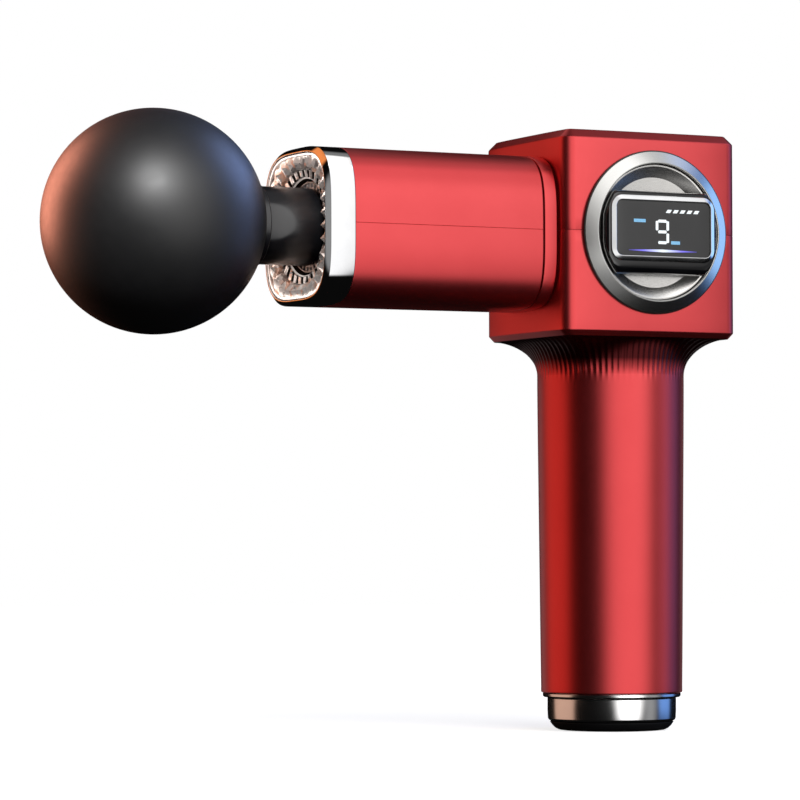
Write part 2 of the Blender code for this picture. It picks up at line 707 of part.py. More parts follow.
def dial():
    """The chrome bezel and the twist-and-press dial with its display bar."""
    place = (DIAL_X, 0, AXIS_Z)
    bezel = [(BEZEL_BORE_R, BEZEL_FRONT), (17.15 * MM, BEZEL_FRONT), (BEZEL_R, 22.15 * MM),
             (BEZEL_R, 21.95 * MM), (19.0 * MM, 21.95 * MM), (19.0 * MM, 19.4 * MM),
             (17.6 * MM, 19.4 * MM), (17.6 * MM, 21.4 * MM), (BEZEL_BORE_R, 21.4 * MM)]
    turned("bezel_ring", bezel, "chrome", "-Y", place, 36)

    dish = [(0, DISH_FLOOR), (DISH_FLOOR_R, DISH_FLOOR), (16.0 * MM, DISH_FRONT),
            (DISH_R, DISH_FRONT), (DISH_R, 21.05 * MM), (17.3 * MM, 21.05 * MM),
            (17.3 * MM, 20.1 * MM), (0, 20.1 * MM)]
    dish_part = turned("dial_dish", dish, "brushed_steel", "-Y", place, 36)
    post = block("dial_post", (DIAL_X - 2 * MM, -20.5 * MM, AXIS_Z - 2 * MM),
                 (DIAL_X + 2 * MM, -16.0 * MM, AXIS_Z + 2 * MM), None)
    combine(dish_part, post, "UNION")

    display_bar(place)

    hub = rod_shape("dial_hub", 7.0 * MM, 15.2 * MM, 18.7 * MM, "white_nylon", "-Y", place, 24)
    way = block("hub_way", (DIAL_X - 2.3 * MM, -19 * MM, AXIS_Z - 2.3 * MM),
                (DIAL_X + 2.3 * MM, -15 * MM, AXIS_Z + 2.3 * MM), None)
    combine(hub, way)
    rod_shape("encoder_base", 6.5 * MM, 12.6 * MM, 14.8 * MM, "black_plastic", "-Y", place, 24)
    block("control_board", (-20.4 * MM, -12.3 * MM, AXIS_Z - 17.5 * MM),
          (20.4 * MM, -11.1 * MM, AXIS_Z + 17.5 * MM), "board_green")


def display_bar(place):
    """The bar across the dish, with its frame, window and display board."""
    levels = [(15.8, 9.9, 3.6, 21.3, 0.0), (15.6, 9.6, 3.6, 24.3, 0.1),
              (14.9, 8.5, 3.3, BAR_TOP / MM, SCREEN_RISE / MM - 0.1)]
    rings = []
    for half_x, half_z, corner, height, rise in levels:
        outline = rounded_rectangle(half_x * MM, half_z * MM, corner * MM)
        rings.append([(x, y + rise * MM, height * MM) for x, y in outline])
    bar = aim(loft("display_bar", rings, "gloss_black"), "-Y", place)
    limit = [(0, 28.0), (16.1, 28.0), (16.1, 23.5), (15.7, 23.1), (14.05, 21.3), (14.05, 21.0),
             (0, 21.0)]
    bound = turned("bar_limit", in_mm(limit), None, "-Y", place, 36)
    combine(bar, bound, "INTERSECT")
    screen_place = (place[0], place[1], place[2] + SCREEN_RISE)
    pocket = plate("board_pocket", [rounded_rectangle(12.6 * MM, 5.6 * MM, 1.5 * MM, 2)],
                   BAR_TOP - 1.4 * MM, BAR_TOP + 1 * MM, None, "-Y", screen_place)
    combine(bar, pocket)

    low = BAR_TOP + GAP
    outer = rounded_rectangle(14.6 * MM, 8.1 * MM, 3.3 * MM)
    inner = rounded_rectangle(SCREEN_HALF_X + GAP, SCREEN_HALF_Z + GAP, 2.4 * MM)
    plate("display_frame", [outer, inner], low, low + 0.7 * MM, "chrome", "-Y", screen_place)
    window = rounded_rectangle(SCREEN_HALF_X, SCREEN_HALF_Z, 2.1 * MM)
    plate("screen_lens", [window], low, low + 0.55 * MM, "screen_glass", "-Y", screen_place)
    board = rounded_rectangle(12.3 * MM, 5.3 * MM, 1.2 * MM, 2)
    plate("display_board", [board], BAR_TOP - 1.1 * MM, BAR_TOP, "board_green", "-Y",
          screen_place)


# ---------------------------------------------------------------- handle

def battery_pack():
    """Three cells between two end discs."""
    cell_top = CELL_BOTTOM_Z + CELL_LENGTH
    for i in range(3):
        angle = math.radians(90 + 120 * i)
        centre = (CELL_RING_R * math.cos(angle), CELL_RING_R * math.sin(angle), 0)
        cell = [(0, cell_top), (2.6 * MM, cell_top), (2.6 * MM, cell_top - 0.8 * MM),
                (CELL_R, cell_top - 0.8 * MM), (CELL_R, CELL_BOTTOM_Z), (0, CELL_BOTTOM_Z)]
        turned(f"battery_cell_{i + 1}", cell, "cell_wrap", "+Z", centre, 20)
    lead_hole = circle(1.5 * MM, 12, (0, -12.8 * MM))
    for name, low in (("battery_holder_bottom", CELL_BOTTOM_Z - GAP - 2.4 * MM),
                      ("battery_holder_top", cell_top + GAP)):
        plate(name, [circle(15.5 * MM, 24), lead_hole, circle(3 * MM, 16)], low, low + 2.4 * MM,
              "white_nylon")


def boards_and_leads():
    """Charging socket and board, motor driver board and the leads inside."""
    block("driver_board", (-12 * MM, -0.6 * MM, 86.5 * MM), (12 * MM, 0.6 * MM, 101.5 * MM),
          "board_green")
    plate("charge_board", [circle(13.4 * MM, 32)], 7.2 * MM, 8.4 * MM, "board_green")
    port = block("charge_port", (-4.5 * MM, 8.7 * MM, PORT_Z - 1.65 * MM),
                 (4.5 * MM, 15.6 * MM, PORT_Z + 1.65 * MM), "steel")
    mouth = block("port_mouth", (-4.1 * MM, 10 * MM, PORT_Z - 1.25 * MM),
                  (4.1 * MM, 17 * MM, PORT_Z + 1.25 * MM), None)
    tongue = block("port_tongue", (-3.3 * MM, 9 * MM, PORT_Z - 0.35 * MM),
                   (3.3 * MM, 14.8 * MM, PORT_Z + 0.35 * MM), None)
    combine(port, mouth)
    combine(port, tongue, "UNION")
    charge = [(0, -12.8, 8.8), (0, -12.8, 27), (0, -12.8, 82), (0, -11, 86.5), (0, -6, 89),
              (0, -2, 90)]
    display = [(-6, -1.8, 98), (-6, -4, 101), (-6, -8, 105), (-6, -10, 108)]
    supply = [(6, 1.8, 98), (6, 4, 101), (6, 9, 102.2), (6, 15.2, 102.2)]
    for name, route in (("charge_lead", charge), ("display_lead", display),
                        ("motor_lead", supply)):
        lead(name, [(x * MM, y * MM, z * MM) for x, y, z in route], 0.8 * MM, "black_plastic")


def foot():
    """Chrome lip at the tube's end, the chrome base cap and the rubber foot."""
    ring_shape("base_lip_ring", 17.2 * MM, 15.8 * MM, BAND_TOP_Z + GAP, TUBE_BOTTOM_Z - GAP,
               "chrome", "+Z")
    floor_z = BAND_BOTTOM_Z + 1.0 * MM
    spigot_r = 15.5 * MM
    edge = 0.4 * MM
    # A cup: its floor, its inner wall, the spigot in the tube and the chrome band.
    cap = [(0, floor_z), (13.9 * MM, floor_z), (13.9 * MM, 14 * MM), (spigot_r, 14 * MM),
           (spigot_r, BAND_TOP_Z), (BAND_R, BAND_TOP_Z), (BAND_R, BAND_BOTTOM_Z + edge),
           (BAND_R - edge, BAND_BOTTOM_Z), (0, BAND_BOTTOM_Z)]
    base = turned("base_cap", cap, "chrome")
    way = block("port_way", (-4.8 * MM, 9 * MM, PORT_Z - 1.95 * MM),
                (4.8 * MM, 19 * MM, PORT_Z + 1.95 * MM), None)
    combine(base, way)
    sole = [(0, 2.1), (15.5, 2.1), (14.8, 1.2), (13.8, 0.4), (12.6, 0.0), (0, 0)]
    turned("rubber_foot", in_mm(sole), "black_rubber")


clear_scene()
PARTS = new_collection("massage_gun")
CUTTERS = new_collection("massage_gun_cutters")
head_shells()
barrel_casing()
vent_grille()
motor()
crank()
plunger_unit()
ball_head()
dial()
battery_pack()
boards_and_leads()
foot()
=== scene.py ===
"""Looks for the massage gun: fine meshes, materials, studio lights and the camera.

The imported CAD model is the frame. Metres, +Z up the handle, the barrel points to -X and
the display dial faces -Y. Each visible CAD node is replaced by a finely meshed piece of
the same size; the parts inside the casing keep their CAD meshes and get materials.
"""

import json
import math

import bmesh
import bpy
import numpy as np
from mathutils import Matrix, Vector

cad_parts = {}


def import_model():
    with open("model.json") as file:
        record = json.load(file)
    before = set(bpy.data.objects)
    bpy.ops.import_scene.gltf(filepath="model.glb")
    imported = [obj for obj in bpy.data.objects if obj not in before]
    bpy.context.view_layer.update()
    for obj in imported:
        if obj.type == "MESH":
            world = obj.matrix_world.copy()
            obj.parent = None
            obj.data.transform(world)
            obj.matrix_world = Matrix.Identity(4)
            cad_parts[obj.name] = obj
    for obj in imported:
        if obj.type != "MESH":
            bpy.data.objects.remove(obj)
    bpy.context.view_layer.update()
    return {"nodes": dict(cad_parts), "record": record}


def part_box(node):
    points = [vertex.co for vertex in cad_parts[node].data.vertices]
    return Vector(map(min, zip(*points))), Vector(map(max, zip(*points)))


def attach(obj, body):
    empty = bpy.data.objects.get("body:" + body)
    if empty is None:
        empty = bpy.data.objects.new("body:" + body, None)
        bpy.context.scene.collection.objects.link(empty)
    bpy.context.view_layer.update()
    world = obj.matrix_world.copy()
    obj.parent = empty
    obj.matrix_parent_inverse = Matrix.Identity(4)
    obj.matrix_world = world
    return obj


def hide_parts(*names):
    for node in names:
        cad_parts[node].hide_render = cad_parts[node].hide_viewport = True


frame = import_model()

MM = 0.001
SEAM = 0.02 * MM                # half the hairline between two casing shells
SEAM_EDGE = 0.1 * MM            # height of the eased edge along the head's hairline
SEAM_NICK = 0.06 * MM           # and how far it turns in
EDGE_ANGLE = 32                 # degrees of turn above which an edge shades as sharp
ROUNDED_ABOVE = 12              # degrees of turn above which soften() rounds a corner

# Sizes read from the frame
RING_LOW, RING_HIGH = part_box("front_ring")
COLLAR_LOW, COLLAR_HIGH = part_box("barrel_collar")
BEZEL_LOW, BEZEL_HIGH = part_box("bezel_ring")
LENS_LOW, LENS_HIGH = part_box("screen_lens")
PORT_LOW, PORT_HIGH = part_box("charge_port")
HEAD_HALF_X, HEAD_HALF_Y, HEAD_TOP_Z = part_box("head_shell_upper")[1]
TUBE_BOTTOM_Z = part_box("head_shell_lower")[0].z
AXIS_Z = (RING_LOW.z + RING_HIGH.z) / 2
DIAL_X = (BEZEL_LOW.x + BEZEL_HIGH.x) / 2
SCREEN_Z = (LENS_LOW.z + LENS_HIGH.z) / 2
PORT_Z = (PORT_LOW.z + PORT_HIGH.z) / 2
BARREL_HALF_Y = RING_HIGH.y
BARREL_HALF_Z = RING_HIGH.z - AXIS_Z

# Head and handle
TUBE_BOTTOM_R = 17.65 * MM
TUBE_TOP_R = 18.35 * MM
TUBE_WALL = 1.75 * MM
FLARE_START_Z = 88.2 * MM
FLARE_END_Z = 97.2 * MM
FLARE_POWER = 1.7               # how late the flare spreads from the handle to the head
HEAD_SIDE_LOW_Z = 98.6 * MM
LOW_CHAMFER = 1.3 * MM
TOP_CHAMFER = 2.1 * MM
CORNER_R = 3.4 * MM
CORNER_LEAD = math.radians(4.5)  # how far a side has turned where its corner starts
WALL = 2.0 * MM
FLUTES = 80
FLUTE_DEPTH = 0.16 * MM
DIAL_WAY_R = 19.3 * MM

# Barrel and grille
BARREL_POWER = 3.7              # of its superellipse section: 2 is round, more is squarer
BARREL_WALL = 1.8 * MM
BARREL_WAY_INSET = 1.9 * MM
GROOVE = 0.45 * MM              # between the collar and the casing halves
RING_DEPTH = 7.5 * MM
FRONT_BEVEL = 1.1 * MM
HOLE_R = 11.7 * MM
FACETS_X = -86.7 * MM           # the grille's facets start behind its rim, at this x
SHADE_X = -84.9 * MM            # and its painted shade, dark down the hole, from this one

# Dial
BEZEL_EDGE_R = 19.9 * MM        # the bezel has painted shade beyond this radius, for the shadow in its gap
GLOW_X = -0.25 * MM             # the glow line's middle from the dial's axis
GLOW_HALF = 9.6 * MM

ORIGIN = (0.0, 0.0)
BARREL_AXIS = (0.0, AXIS_Z)
DIAL_AXIS = (DIAL_X, AXIS_Z)
SCREEN_AXIS = (DIAL_X, SCREEN_Z)


# ---- mesh tools

def make_object(name, points, faces, material, sharp=EDGE_ANGLE):
    """A smooth-shaded mesh object with its normals facing out."""
    mesh = bpy.data.meshes.new(name)
    mesh.from_pydata([tuple(p) for p in points], [], faces)
    bm = bmesh.new()
    bm.from_mesh(mesh)
    bmesh.ops.recalc_face_normals(bm, faces=bm.faces)
    bm.to_mesh(mesh)
    bm.free()
    mesh.shade_smooth()
    mesh.set_sharp_from_angle(angle=math.radians(sharp))
    obj = bpy.data.objects.new(name, mesh)
    bpy.context.scene.collection.objects.link(obj)
    if material is not None:
        mesh.materials.append(material)
    return obj


def skin(name, rings, material, loop=False, sharp=EDGE_ANGLE):
    """Skins closed rings of points. A loop joins the last to the first, else both ends close."""
    rings = [np.asarray(ring, float) for ring in rings]
    count = len(rings[0])
    points = np.concatenate(rings)
    faces = []
    last = len(rings) if loop else len(rings) - 1
    for k in range(last):
        low = k * count
        high = (k + 1) % len(rings) * count
        for i in range(count):
            j = (i + 1) % count
            faces.append((low + i, low + j, high + j, high + i))
    if not loop:
        faces.append(tuple(reversed(range(count))))
        faces.append(tuple(range(len(points) - count, len(points))))
    return make_object(name, points, faces, material, sharp)


def soften(profile, radius, closed=True, steps=4):
    """Rounds the corners of an outline of (a, b) points."""
    count = len(profile)
    softened = []
    for i in range(count):
        here = Vector(profile[i])
        if not closed and i in (0, count - 1):
            softened.append(tuple(here))
            continue
        before = Vector(profile[i - 1]) - here
        after = Vector(profile[(i + 1) % count]) - here
        turn = math.pi - before.angle(after)
        if turn < math.radians(ROUNDED_ABOVE):
            softened.append(tuple(here))
            continue
        cut = radius * math.tan(turn / 2)
        cut = min(cut, before.length * 0.45, after.length * 0.45)
        start = here + before.normalized() * cut
        end = here + after.normalized() * cut
        for step in range(steps + 1):
            t = step / steps
            softened.append(tuple(start.lerp(here, t).lerp(here.lerp(end, t), t)))
    return softened


def turned(name, profile, axis, centre, material, closed=True, segments=128):
    """Turns a profile of (radius, place along the axis) about X, -Y or Z."""
    angles = np.linspace(0, 2 * math.pi, segments, endpoint=False)
    rings = []
    for radius, along in profile:
        ring = placed(radius * np.cos(angles), radius * np.sin(angles), along, axis, centre)
        rings.append(ring)
    return skin(name, rings, material, loop=closed)


def placed(a, b, along, axis, centre):
    """Section coordinates a and b, at a place along an axis, as points of the frame."""
    a = np.asarray(a, float)
    b = np.asarray(b, float)
    along = np.broadcast_to(np.asarray(along, float), a.shape)
    if axis == "Z":
        return np.stack([centre[0] + a, centre[1] + b, along], axis=1)
    if axis == "-Y":
        return np.stack([centre[0] + a, -along, centre[1] + b], axis=1)
    return np.stack([along, centre[0] + a, centre[1] + b], axis=1)


def turned_outline(name, outline, radius, axis, centre, material, closed=True, segments=192):
    """Turns an outline in millimetres, with its corners rounded by a radius."""
    profile = soften([(a * MM, b * MM) for a, b in outline], radius * MM, closed)
    return turned(name, profile, axis, centre, material, closed, segments)


def repaint(obj, material, wanted):
    """Gives the faces whose centres are wanted a finish of their own."""
    obj.data.materials.append(material)
    last = len(obj.data.materials) - 1
    for face in obj.data.polygons:
        if wanted(face.center):
            face.material_index = last


def cut(obj, tool):
    """Takes a closed tool out of a piece and removes the tool."""
    modifier = obj.modifiers.new("cut", "BOOLEAN")
    modifier.operation = "DIFFERENCE"
    modifier.solver = "MANIFOLD"
    modifier.object = tool
    bpy.context.view_layer.update()
    graph = bpy.context.evaluated_depsgraph_get()
    mesh = bpy.data.meshes.new_from_object(obj.evaluated_get(graph))
    obj.modifiers.clear()
    old = obj.data
    obj.data = mesh
    bpy.data.meshes.remove(old)
    bpy.data.objects.remove(tool)
    mesh.shade_smooth()
    mesh.set_sharp_from_angle(angle=math.radians(EDGE_ANGLE))
    return obj


def finish_piece(obj, body, slot, *nodes):
    """Rides a piece on its body and hides the CAD nodes it stands for. The slot is not used."""
    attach(obj, body)
    if nodes:
        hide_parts(*nodes)
    return obj


# ---- outlines

def soft_square(half_x, half_y, side_steps, corner_steps):
    """The head's outline: sides that turn slightly before tight corners.

    Returns its points and outward normals, anticlockwise from the middle of the +X side.
    """
    u = np.linspace(0, 1, side_steps + 1)
    v = np.linspace(0, 1, corner_steps + 1)[1:]
    lead = CORNER_LEAD
    quarter = math.pi / 2
    theta = np.concatenate([lead * u ** 3, lead + (quarter - 2 * lead) * v,
                            quarter - lead * (1 - u[1:]) ** 3])
    side_a = (half_y - CORNER_R) * u
    corner = side_a[-1] + CORNER_R * (quarter - 2 * lead) * v
    side_b = corner[-1] + (half_x - CORNER_R) * u[1:]
    length = np.concatenate([side_a, corner, side_b])
    middle = (theta[1:] + theta[:-1]) / 2
    step = np.diff(length)
    x = np.concatenate([[0], np.cumsum(-np.sin(middle) * step)])
    y = np.concatenate([[0], np.cumsum(np.cos(middle) * step)])
    x = half_x * (1 + x / -x[-1])
    y = half_y * y / y[-1]
    points = np.stack([x, y], 1)[:-1]
    normals = np.stack([np.cos(theta), np.sin(theta)], 1)[:-1]
    return mirrored(points, [[0.0, half_y]]), mirrored(normals, [[0.0, 1.0]])


def mirrored(quarter, top):
    """Completes an outline from its first quarter and its topmost point."""
    second = (quarter * (-1, 1))[::-1]
    half = np.concatenate([quarter, top, second])
    lower = (half * (1, -1))[::-1][1:-1]
    return np.concatenate([half, lower])


def superellipse(inset=0.0, angle=None):
    """The barrel's section at an inset, as y and z about its axis at polar angles."""
    if angle is None:
        angle = np.linspace(0, 2 * math.pi, 360, endpoint=False)
    c = np.abs(np.cos(angle)) / (BARREL_HALF_Y - inset)
    s = np.abs(np.sin(angle)) / (BARREL_HALF_Z - inset)
    radius = (c ** BARREL_POWER + s ** BARREL_POWER) ** (-1 / BARREL_POWER)
    return radius * np.cos(angle), radius * np.sin(angle)


def round_rectangle(half_a, half_b, radius):
    """A rounded rectangle with extra points along its straight sides."""
    steps = 10
    side_steps = 6
    points = []
    for sa, sb, start in ((1, 1, 0), (-1, 1, 90), (-1, -1, 180), (1, -1, 270)):
        for i in range(steps + 1):
            angle = math.radians(start + 90 * i / steps)
            points.append((sa * (half_a - radius) + radius * math.cos(angle),
                           sb * (half_b - radius) + radius * math.sin(angle)))
    filled = []
    for i, point in enumerate(points):
        filled.append(point)
        if i % (steps + 1) == steps:
            ahead = points[(i + 1) % len(points)]
            for k in range(1, side_steps):
                t = k / side_steps
                filled.append((point[0] + (ahead[0] - point[0]) * t,
                               point[1] + (ahead[1] - point[1]) * t))
    return np.array(filled)


# ---- materials

class Nodes:
    """Short names for building one material's node tree."""

    def __init__(self, name):
        self.material = bpy.data.materials.new(name)
        self.material.use_nodes = True
        self.tree = self.material.node_tree
        self.shader = self.tree.nodes["Principled BSDF"]
        self.place = self.add("ShaderNodeTexCoord").outputs["Object"]

    def add(self, kind, **settings):
        node = self.tree.nodes.new(kind)
        for key, value in settings.items():
            setattr(node, key, value)
        return node

    def link(self, output, socket):
        self.tree.links.new(output, socket)

    def stretched(self, scale):
        """Coordinates stretched by a scale along each axis."""
        mapping = self.add("ShaderNodeMapping")
        mapping.inputs["Scale"].default_value = scale
        self.link(self.place, mapping.inputs["Vector"])
        return mapping.outputs["Vector"]

    def noise(self, scale, detail=2.0, vector=None, rough=0.5):
        node = self.add("ShaderNodeTexNoise")
        node.inputs["Scale"].default_value = scale
        node.inputs["Detail"].default_value = detail
        node.inputs["Roughness"].default_value = rough
        self.link(vector or self.place, node.inputs["Vector"])
        return node.outputs["Fac"]

    def spread(self, value, low, high, start=0.3, end=0.7):
        """Spreads a noise value between two limits."""
        node = self.add("ShaderNodeMapRange")
        node.inputs["From Min"].default_value = start
        node.inputs["From Max"].default_value = end
        node.inputs["To Min"].default_value = low
        node.inputs["To Max"].default_value = high
        self.link(value, node.inputs["Value"])
        return node.outputs["Result"]

    def colours(self, value, *stops):
        """A colour ramp over (position, colour) stops."""
        node = self.add("ShaderNodeValToRGB")
        ramp = node.color_ramp
        while len(ramp.elements) < len(stops):
            ramp.elements.new(0.5)
        for element, (position, colour) in zip(ramp.elements, stops):
            element.position = position
            element.color = (*colour, 1.0)
        self.link(value, node.inputs["Fac"])
        return node.outputs["Color"]

    def part(self, vector, axis):
        """One of a vector's three numbers."""
        node = self.add("ShaderNodeSeparateXYZ")
        self.link(vector, node.inputs["Vector"])
        return node.outputs[axis]

    def cells(self, scale):
        """A pattern of angular cells."""
        node = self.add("ShaderNodeTexVoronoi", distance="MANHATTAN")
        node.inputs["Scale"].default_value = scale
        self.link(self.place, node.inputs["Vector"])
        return node.outputs

    def bump(self, height, distance):
        node = self.add("ShaderNodeBump")
        node.inputs["Distance"].default_value = distance
        node.inputs["Strength"].default_value = 1.0
        self.link(height, node.inputs["Height"])
        return node.outputs["Normal"]

    def set(self, **sockets):
        """Sets the shader's sockets to values."""
        for key, value in sockets.items():
            self.shader.inputs[key.replace("_", " ")].default_value = value

    def wire(self, **sockets):
        """Links outputs to the shader's sockets."""
        for key, output in sockets.items():
            self.link(output, self.shader.inputs[key.replace("_", " ")])


def grained(name, dark, light, roughness, metallic=0.0, grain=5000.0, depth=0.004,
            tint=90.0, **sockets):
    """A finish with a fine grain, a soft change of tint and a varying gloss."""
    n = Nodes(name)
    n.set(Metallic=metallic, **sockets)
    n.wire(Base_Color=n.colours(n.noise(tint, 3.0), (0.35, dark), (0.65, light)),
           Roughness=n.spread(n.noise(grain / 6, 4.0), *roughness),
           Normal=n.bump(n.noise(grain, 3.0), depth * MM))
    return n.material


def brushed(name, dark, light, roughness, along, **sockets):
    """Metal with fine parallel brush lines, running along the axis of least scale."""
    n = Nodes(name)
    n.set(Metallic=1.0, **sockets)
    lines = n.noise(1.0, 5.0, n.stretched(along), rough=0.65)
    n.wire(Base_Color=n.colours(lines, (0.3, dark), (0.7, light)),
           Roughness=n.spread(lines, *roughness), Normal=n.bump(lines, 0.004 * MM))
    return n.material


def polished(name, dark, light, roughness=(0.04, 0.09)):
    """Polished metal with faint handling marks and hair-fine polishing lines."""
    n = Nodes(name)
    n.set(Metallic=1.0)
    smears = n.noise(140.0, 5.0)
    hairs = n.noise(1.0, 4.0, n.stretched((900.0, 900.0, 14000.0)))
    n.wire(Base_Color=n.colours(smears, (0.35, dark), (0.65, light)),
           Roughness=n.spread(smears, *roughness), Normal=n.bump(hairs, 0.0006 * MM))
    return n.material


def shaded_red(name, bright, dark, low, high):
    """The red finish, with painted shade deepening between two heights as the flare widens into the
    head.
    """
    n = Nodes(name)
    n.set(Metallic=1.0, Coat_Weight=0.15, Coat_Roughness=0.32)
    share = n.spread(n.part(n.place, "Z"), 0.0, 1.0, low, high)
    n.wire(Base_Color=n.colours(share, (0.0, bright), (1.0, dark)),
           Roughness=n.spread(n.noise(800.0, 4.0), 0.35, 0.37),
           Normal=n.bump(n.noise(5000.0, 3.0), 0.0015 * MM))
    return n.material


def crystal(name, dark, light, warm):
    """Cut metal: small facets of differing tint, each rising to a point."""
    n = Nodes(name)
    n.set(Metallic=0.1)
    cells = n.cells(560.0)
    n.wire(Base_Color=n.colours(n.part(cells["Color"], "X"), (0.1, dark), (0.45, light),
                                (0.6, light), (0.9, warm)),
           Roughness=n.spread(n.part(cells["Color"], "Y"), 0.24, 0.34, 0, 1),
           Normal=n.bump(cells["Distance"], 0.16 * MM))
    return n.material


def glowing(name, stops, along=None, strength=1.0):
    """Display light. Its colour runs between two places along X, or varies finely."""
    n = Nodes(name)
    n.set(Roughness=0.4, Emission_Strength=strength)
    if along is None:
        value = n.noise(2500.0)
    else:
        value = n.spread(n.part(n.place, "X"), 0.0, 1.0, *along)
    n.wire(Emission_Color=n.colours(value, *stops),
           Base_Color=n.spread(n.noise(3000.0), 0.02, 0.06))
    return n.material


def circuit_board():
    """Green solder mask with a maze of slightly lighter tracks."""
    n = Nodes("circuit_board")
    n.set(Roughness=0.35)
    mask = (0.012, 0.12, 0.05)
    track = (0.03, 0.24, 0.11)
    across = n.cells(420.0)["Distance"]
    n.wire(Base_Color=n.colours(across, (0.2, mask), (0.32, track), (0.4, mask)),
           Normal=n.bump(across, 0.02 * MM))
    return n.material


def windings():
    """Enamelled copper wire laid in close turns."""
    n = Nodes("windings")
    n.set(Metallic=1.0)
    wave = n.add("ShaderNodeTexWave", bands_direction="Y")
    wave.inputs["Scale"].default_value = 900.0
    wave.inputs["Distortion"].default_value = 2.0
    n.link(n.place, wave.inputs["Vector"])
    turns = wave.outputs["Fac"]
    n.wire(Base_Color=n.colours(turns, (0.2, (0.35, 0.10, 0.04)), (0.8, (0.78, 0.32, 0.16))),
           Roughness=n.spread(turns, 0.45, 0.25, 0, 1), Normal=n.bump(turns, 0.12 * MM))
    return n.material


RED = grained("red_anodised", (0.770, 0.072, 0.077), (0.790, 0.076, 0.081), (0.35, 0.37), 1.0,
              depth=0.0015, Coat_Weight=0.25, Coat_Roughness=0.32)
# Painted shade: the flare's red darkens to near black towards the head, where the head shades it
FLARE_RED_PAINTED_SHADE = shaded_red("red_anodised_flare_painted_shade", (0.780, 0.074, 0.079), (0.07, 0.004, 0.005),
                       FLARE_START_Z - 0.3 * MM, FLARE_START_Z + 4.0 * MM)
CHROME = polished("chrome", (0.86, 0.86, 0.87), (0.93, 0.93, 0.93))
FRAME_METAL = polished("frame_metal", (0.58, 0.58, 0.59), (0.64, 0.64, 0.64), (0.12, 0.16))
BAND_CHROME = polished("band_chrome", (0.84, 0.84, 0.85), (0.91, 0.91, 0.91), (0.17, 0.20))
BEZEL_METAL = brushed("bezel_metal", (0.44, 0.44, 0.43), (0.52, 0.52, 0.51), (0.22, 0.26),
                      (700.0, 9000.0, 16000.0))
BRUSHED = brushed("brushed_metal", (0.66, 0.65, 0.63), (0.80, 0.79, 0.77), (0.24, 0.34),
                  (500.0, 9000.0, 16000.0))
GRILLE = grained("grille_metal", (0.86, 0.80, 0.77), (0.94, 0.90, 0.88), (0.24, 0.30), 0.1,
                 depth=0.001)
GRILLE_FACETS = crystal("grille_facets", (0.36, 0.33, 0.32), (0.94, 0.90, 0.88),
                        (0.95, 0.62, 0.48))
# A near-black painted shade, for the grille's hollow inside and the bezel's outer edge
PAINTED_SHADE_DARK = grained("painted_shade_dark", (0.010, 0.008, 0.007), (0.030, 0.020, 0.016), (0.3, 0.4))
SOFT_BLACK = grained("soft_black", (0.0035, 0.0035, 0.004), (0.005, 0.005, 0.0055),
                     (0.47, 0.51), grain=3500.0, depth=0.004, Specular_IOR_Level=0.42)
STEM_BLACK = grained("stem_black", (0.002, 0.002, 0.003), (0.004, 0.004, 0.005), (0.28, 0.33),
                     depth=0.001, Specular_IOR_Level=0.5, Coat_Weight=0.2,
                     Coat_Roughness=0.2)
FOOT_RUBBER = grained("foot_rubber", (0.006, 0.006, 0.007), (0.010, 0.010, 0.011),
                      (0.55, 0.65), grain=3500.0, depth=0.008, Specular_IOR_Level=0.3)
PLASTIC = grained("black_plastic", (0.014, 0.014, 0.015), (0.022, 0.022, 0.023), (0.38, 0.5))
GLOSS_BLACK = grained("gloss_black", (0.004, 0.004, 0.005), (0.007, 0.007, 0.008),
                      (0.10, 0.14), depth=0.0006, Coat_Weight=0.6, Coat_Roughness=0.06)
GLASS = grained("screen_glass", (0.066, 0.066, 0.066), (0.074, 0.074, 0.074), (0.2, 0.24),
                depth=0.0005, tint=60.0, Specular_IOR_Level=0.3)
STEEL = grained("steel", (0.42, 0.42, 0.44), (0.55, 0.55, 0.57), (0.25, 0.4), 1.0)
BRASS = grained("brass", (0.66, 0.49, 0.20), (0.78, 0.60, 0.27), (0.25, 0.4), 1.0)
NYLON = grained("nylon", (0.70, 0.70, 0.66), (0.78, 0.78, 0.74), (0.4, 0.55))
CELL_WRAP = grained("cell_wrap", (0.03, 0.12, 0.42), (0.05, 0.17, 0.52), (0.25, 0.35))
BOARD = circuit_board()
COPPER = windings()
WHITE_LIGHT = glowing("display_white", [(0.3, (0.80, 0.93, 1.0)), (0.7, (1.0, 1.0, 1.0))],
                      strength=1.15)
BLUE_LIGHT = glowing("display_blue", [(0.3, (0.22, 0.52, 0.85)), (0.7, (0.33, 0.66, 0.95))],
                     strength=0.95)
GLOW_LIGHT = glowing("display_glow", [(0.0, (0.07, 0.06, 0.26)), (0.22, (0.25, 0.22, 0.95)),
                                      (0.5, (0.85, 0.95, 1.0)), (0.78, (0.25, 0.22, 0.95)),
                                      (1.0, (0.07, 0.06, 0.26))],
                     along=(DIAL_X + GLOW_X - GLOW_HALF, DIAL_X + GLOW_X + GLOW_HALF),
                     strength=1.2)

SLOT_MATERIALS = {
    "red_body": RED, "chrome_trim": CHROME, "brushed_metal": BRUSHED, "grille_metal": GRILLE,
    "soft_black": SOFT_BLACK, "black_plastic": PLASTIC, "gloss_black": GLOSS_BLACK,
    "screen": GLASS, "steel": STEEL, "copper": COPPER, "brass": BRASS,
    "circuit_board": BOARD, "cell_wrap": CELL_WRAP, "nylon": NYLON,
}


def paint_inner_parts():
    """Gives every CAD node the material of its slot in the record."""
    for part in frame["record"]["subparts"]:
        node = frame["nodes"].get(part["node"])
        if node is None:
            continue
        node.data.materials.clear()
        node.data.materials.append(SLOT_MATERIALS[part["material_slot"]])


# ---- head and handle

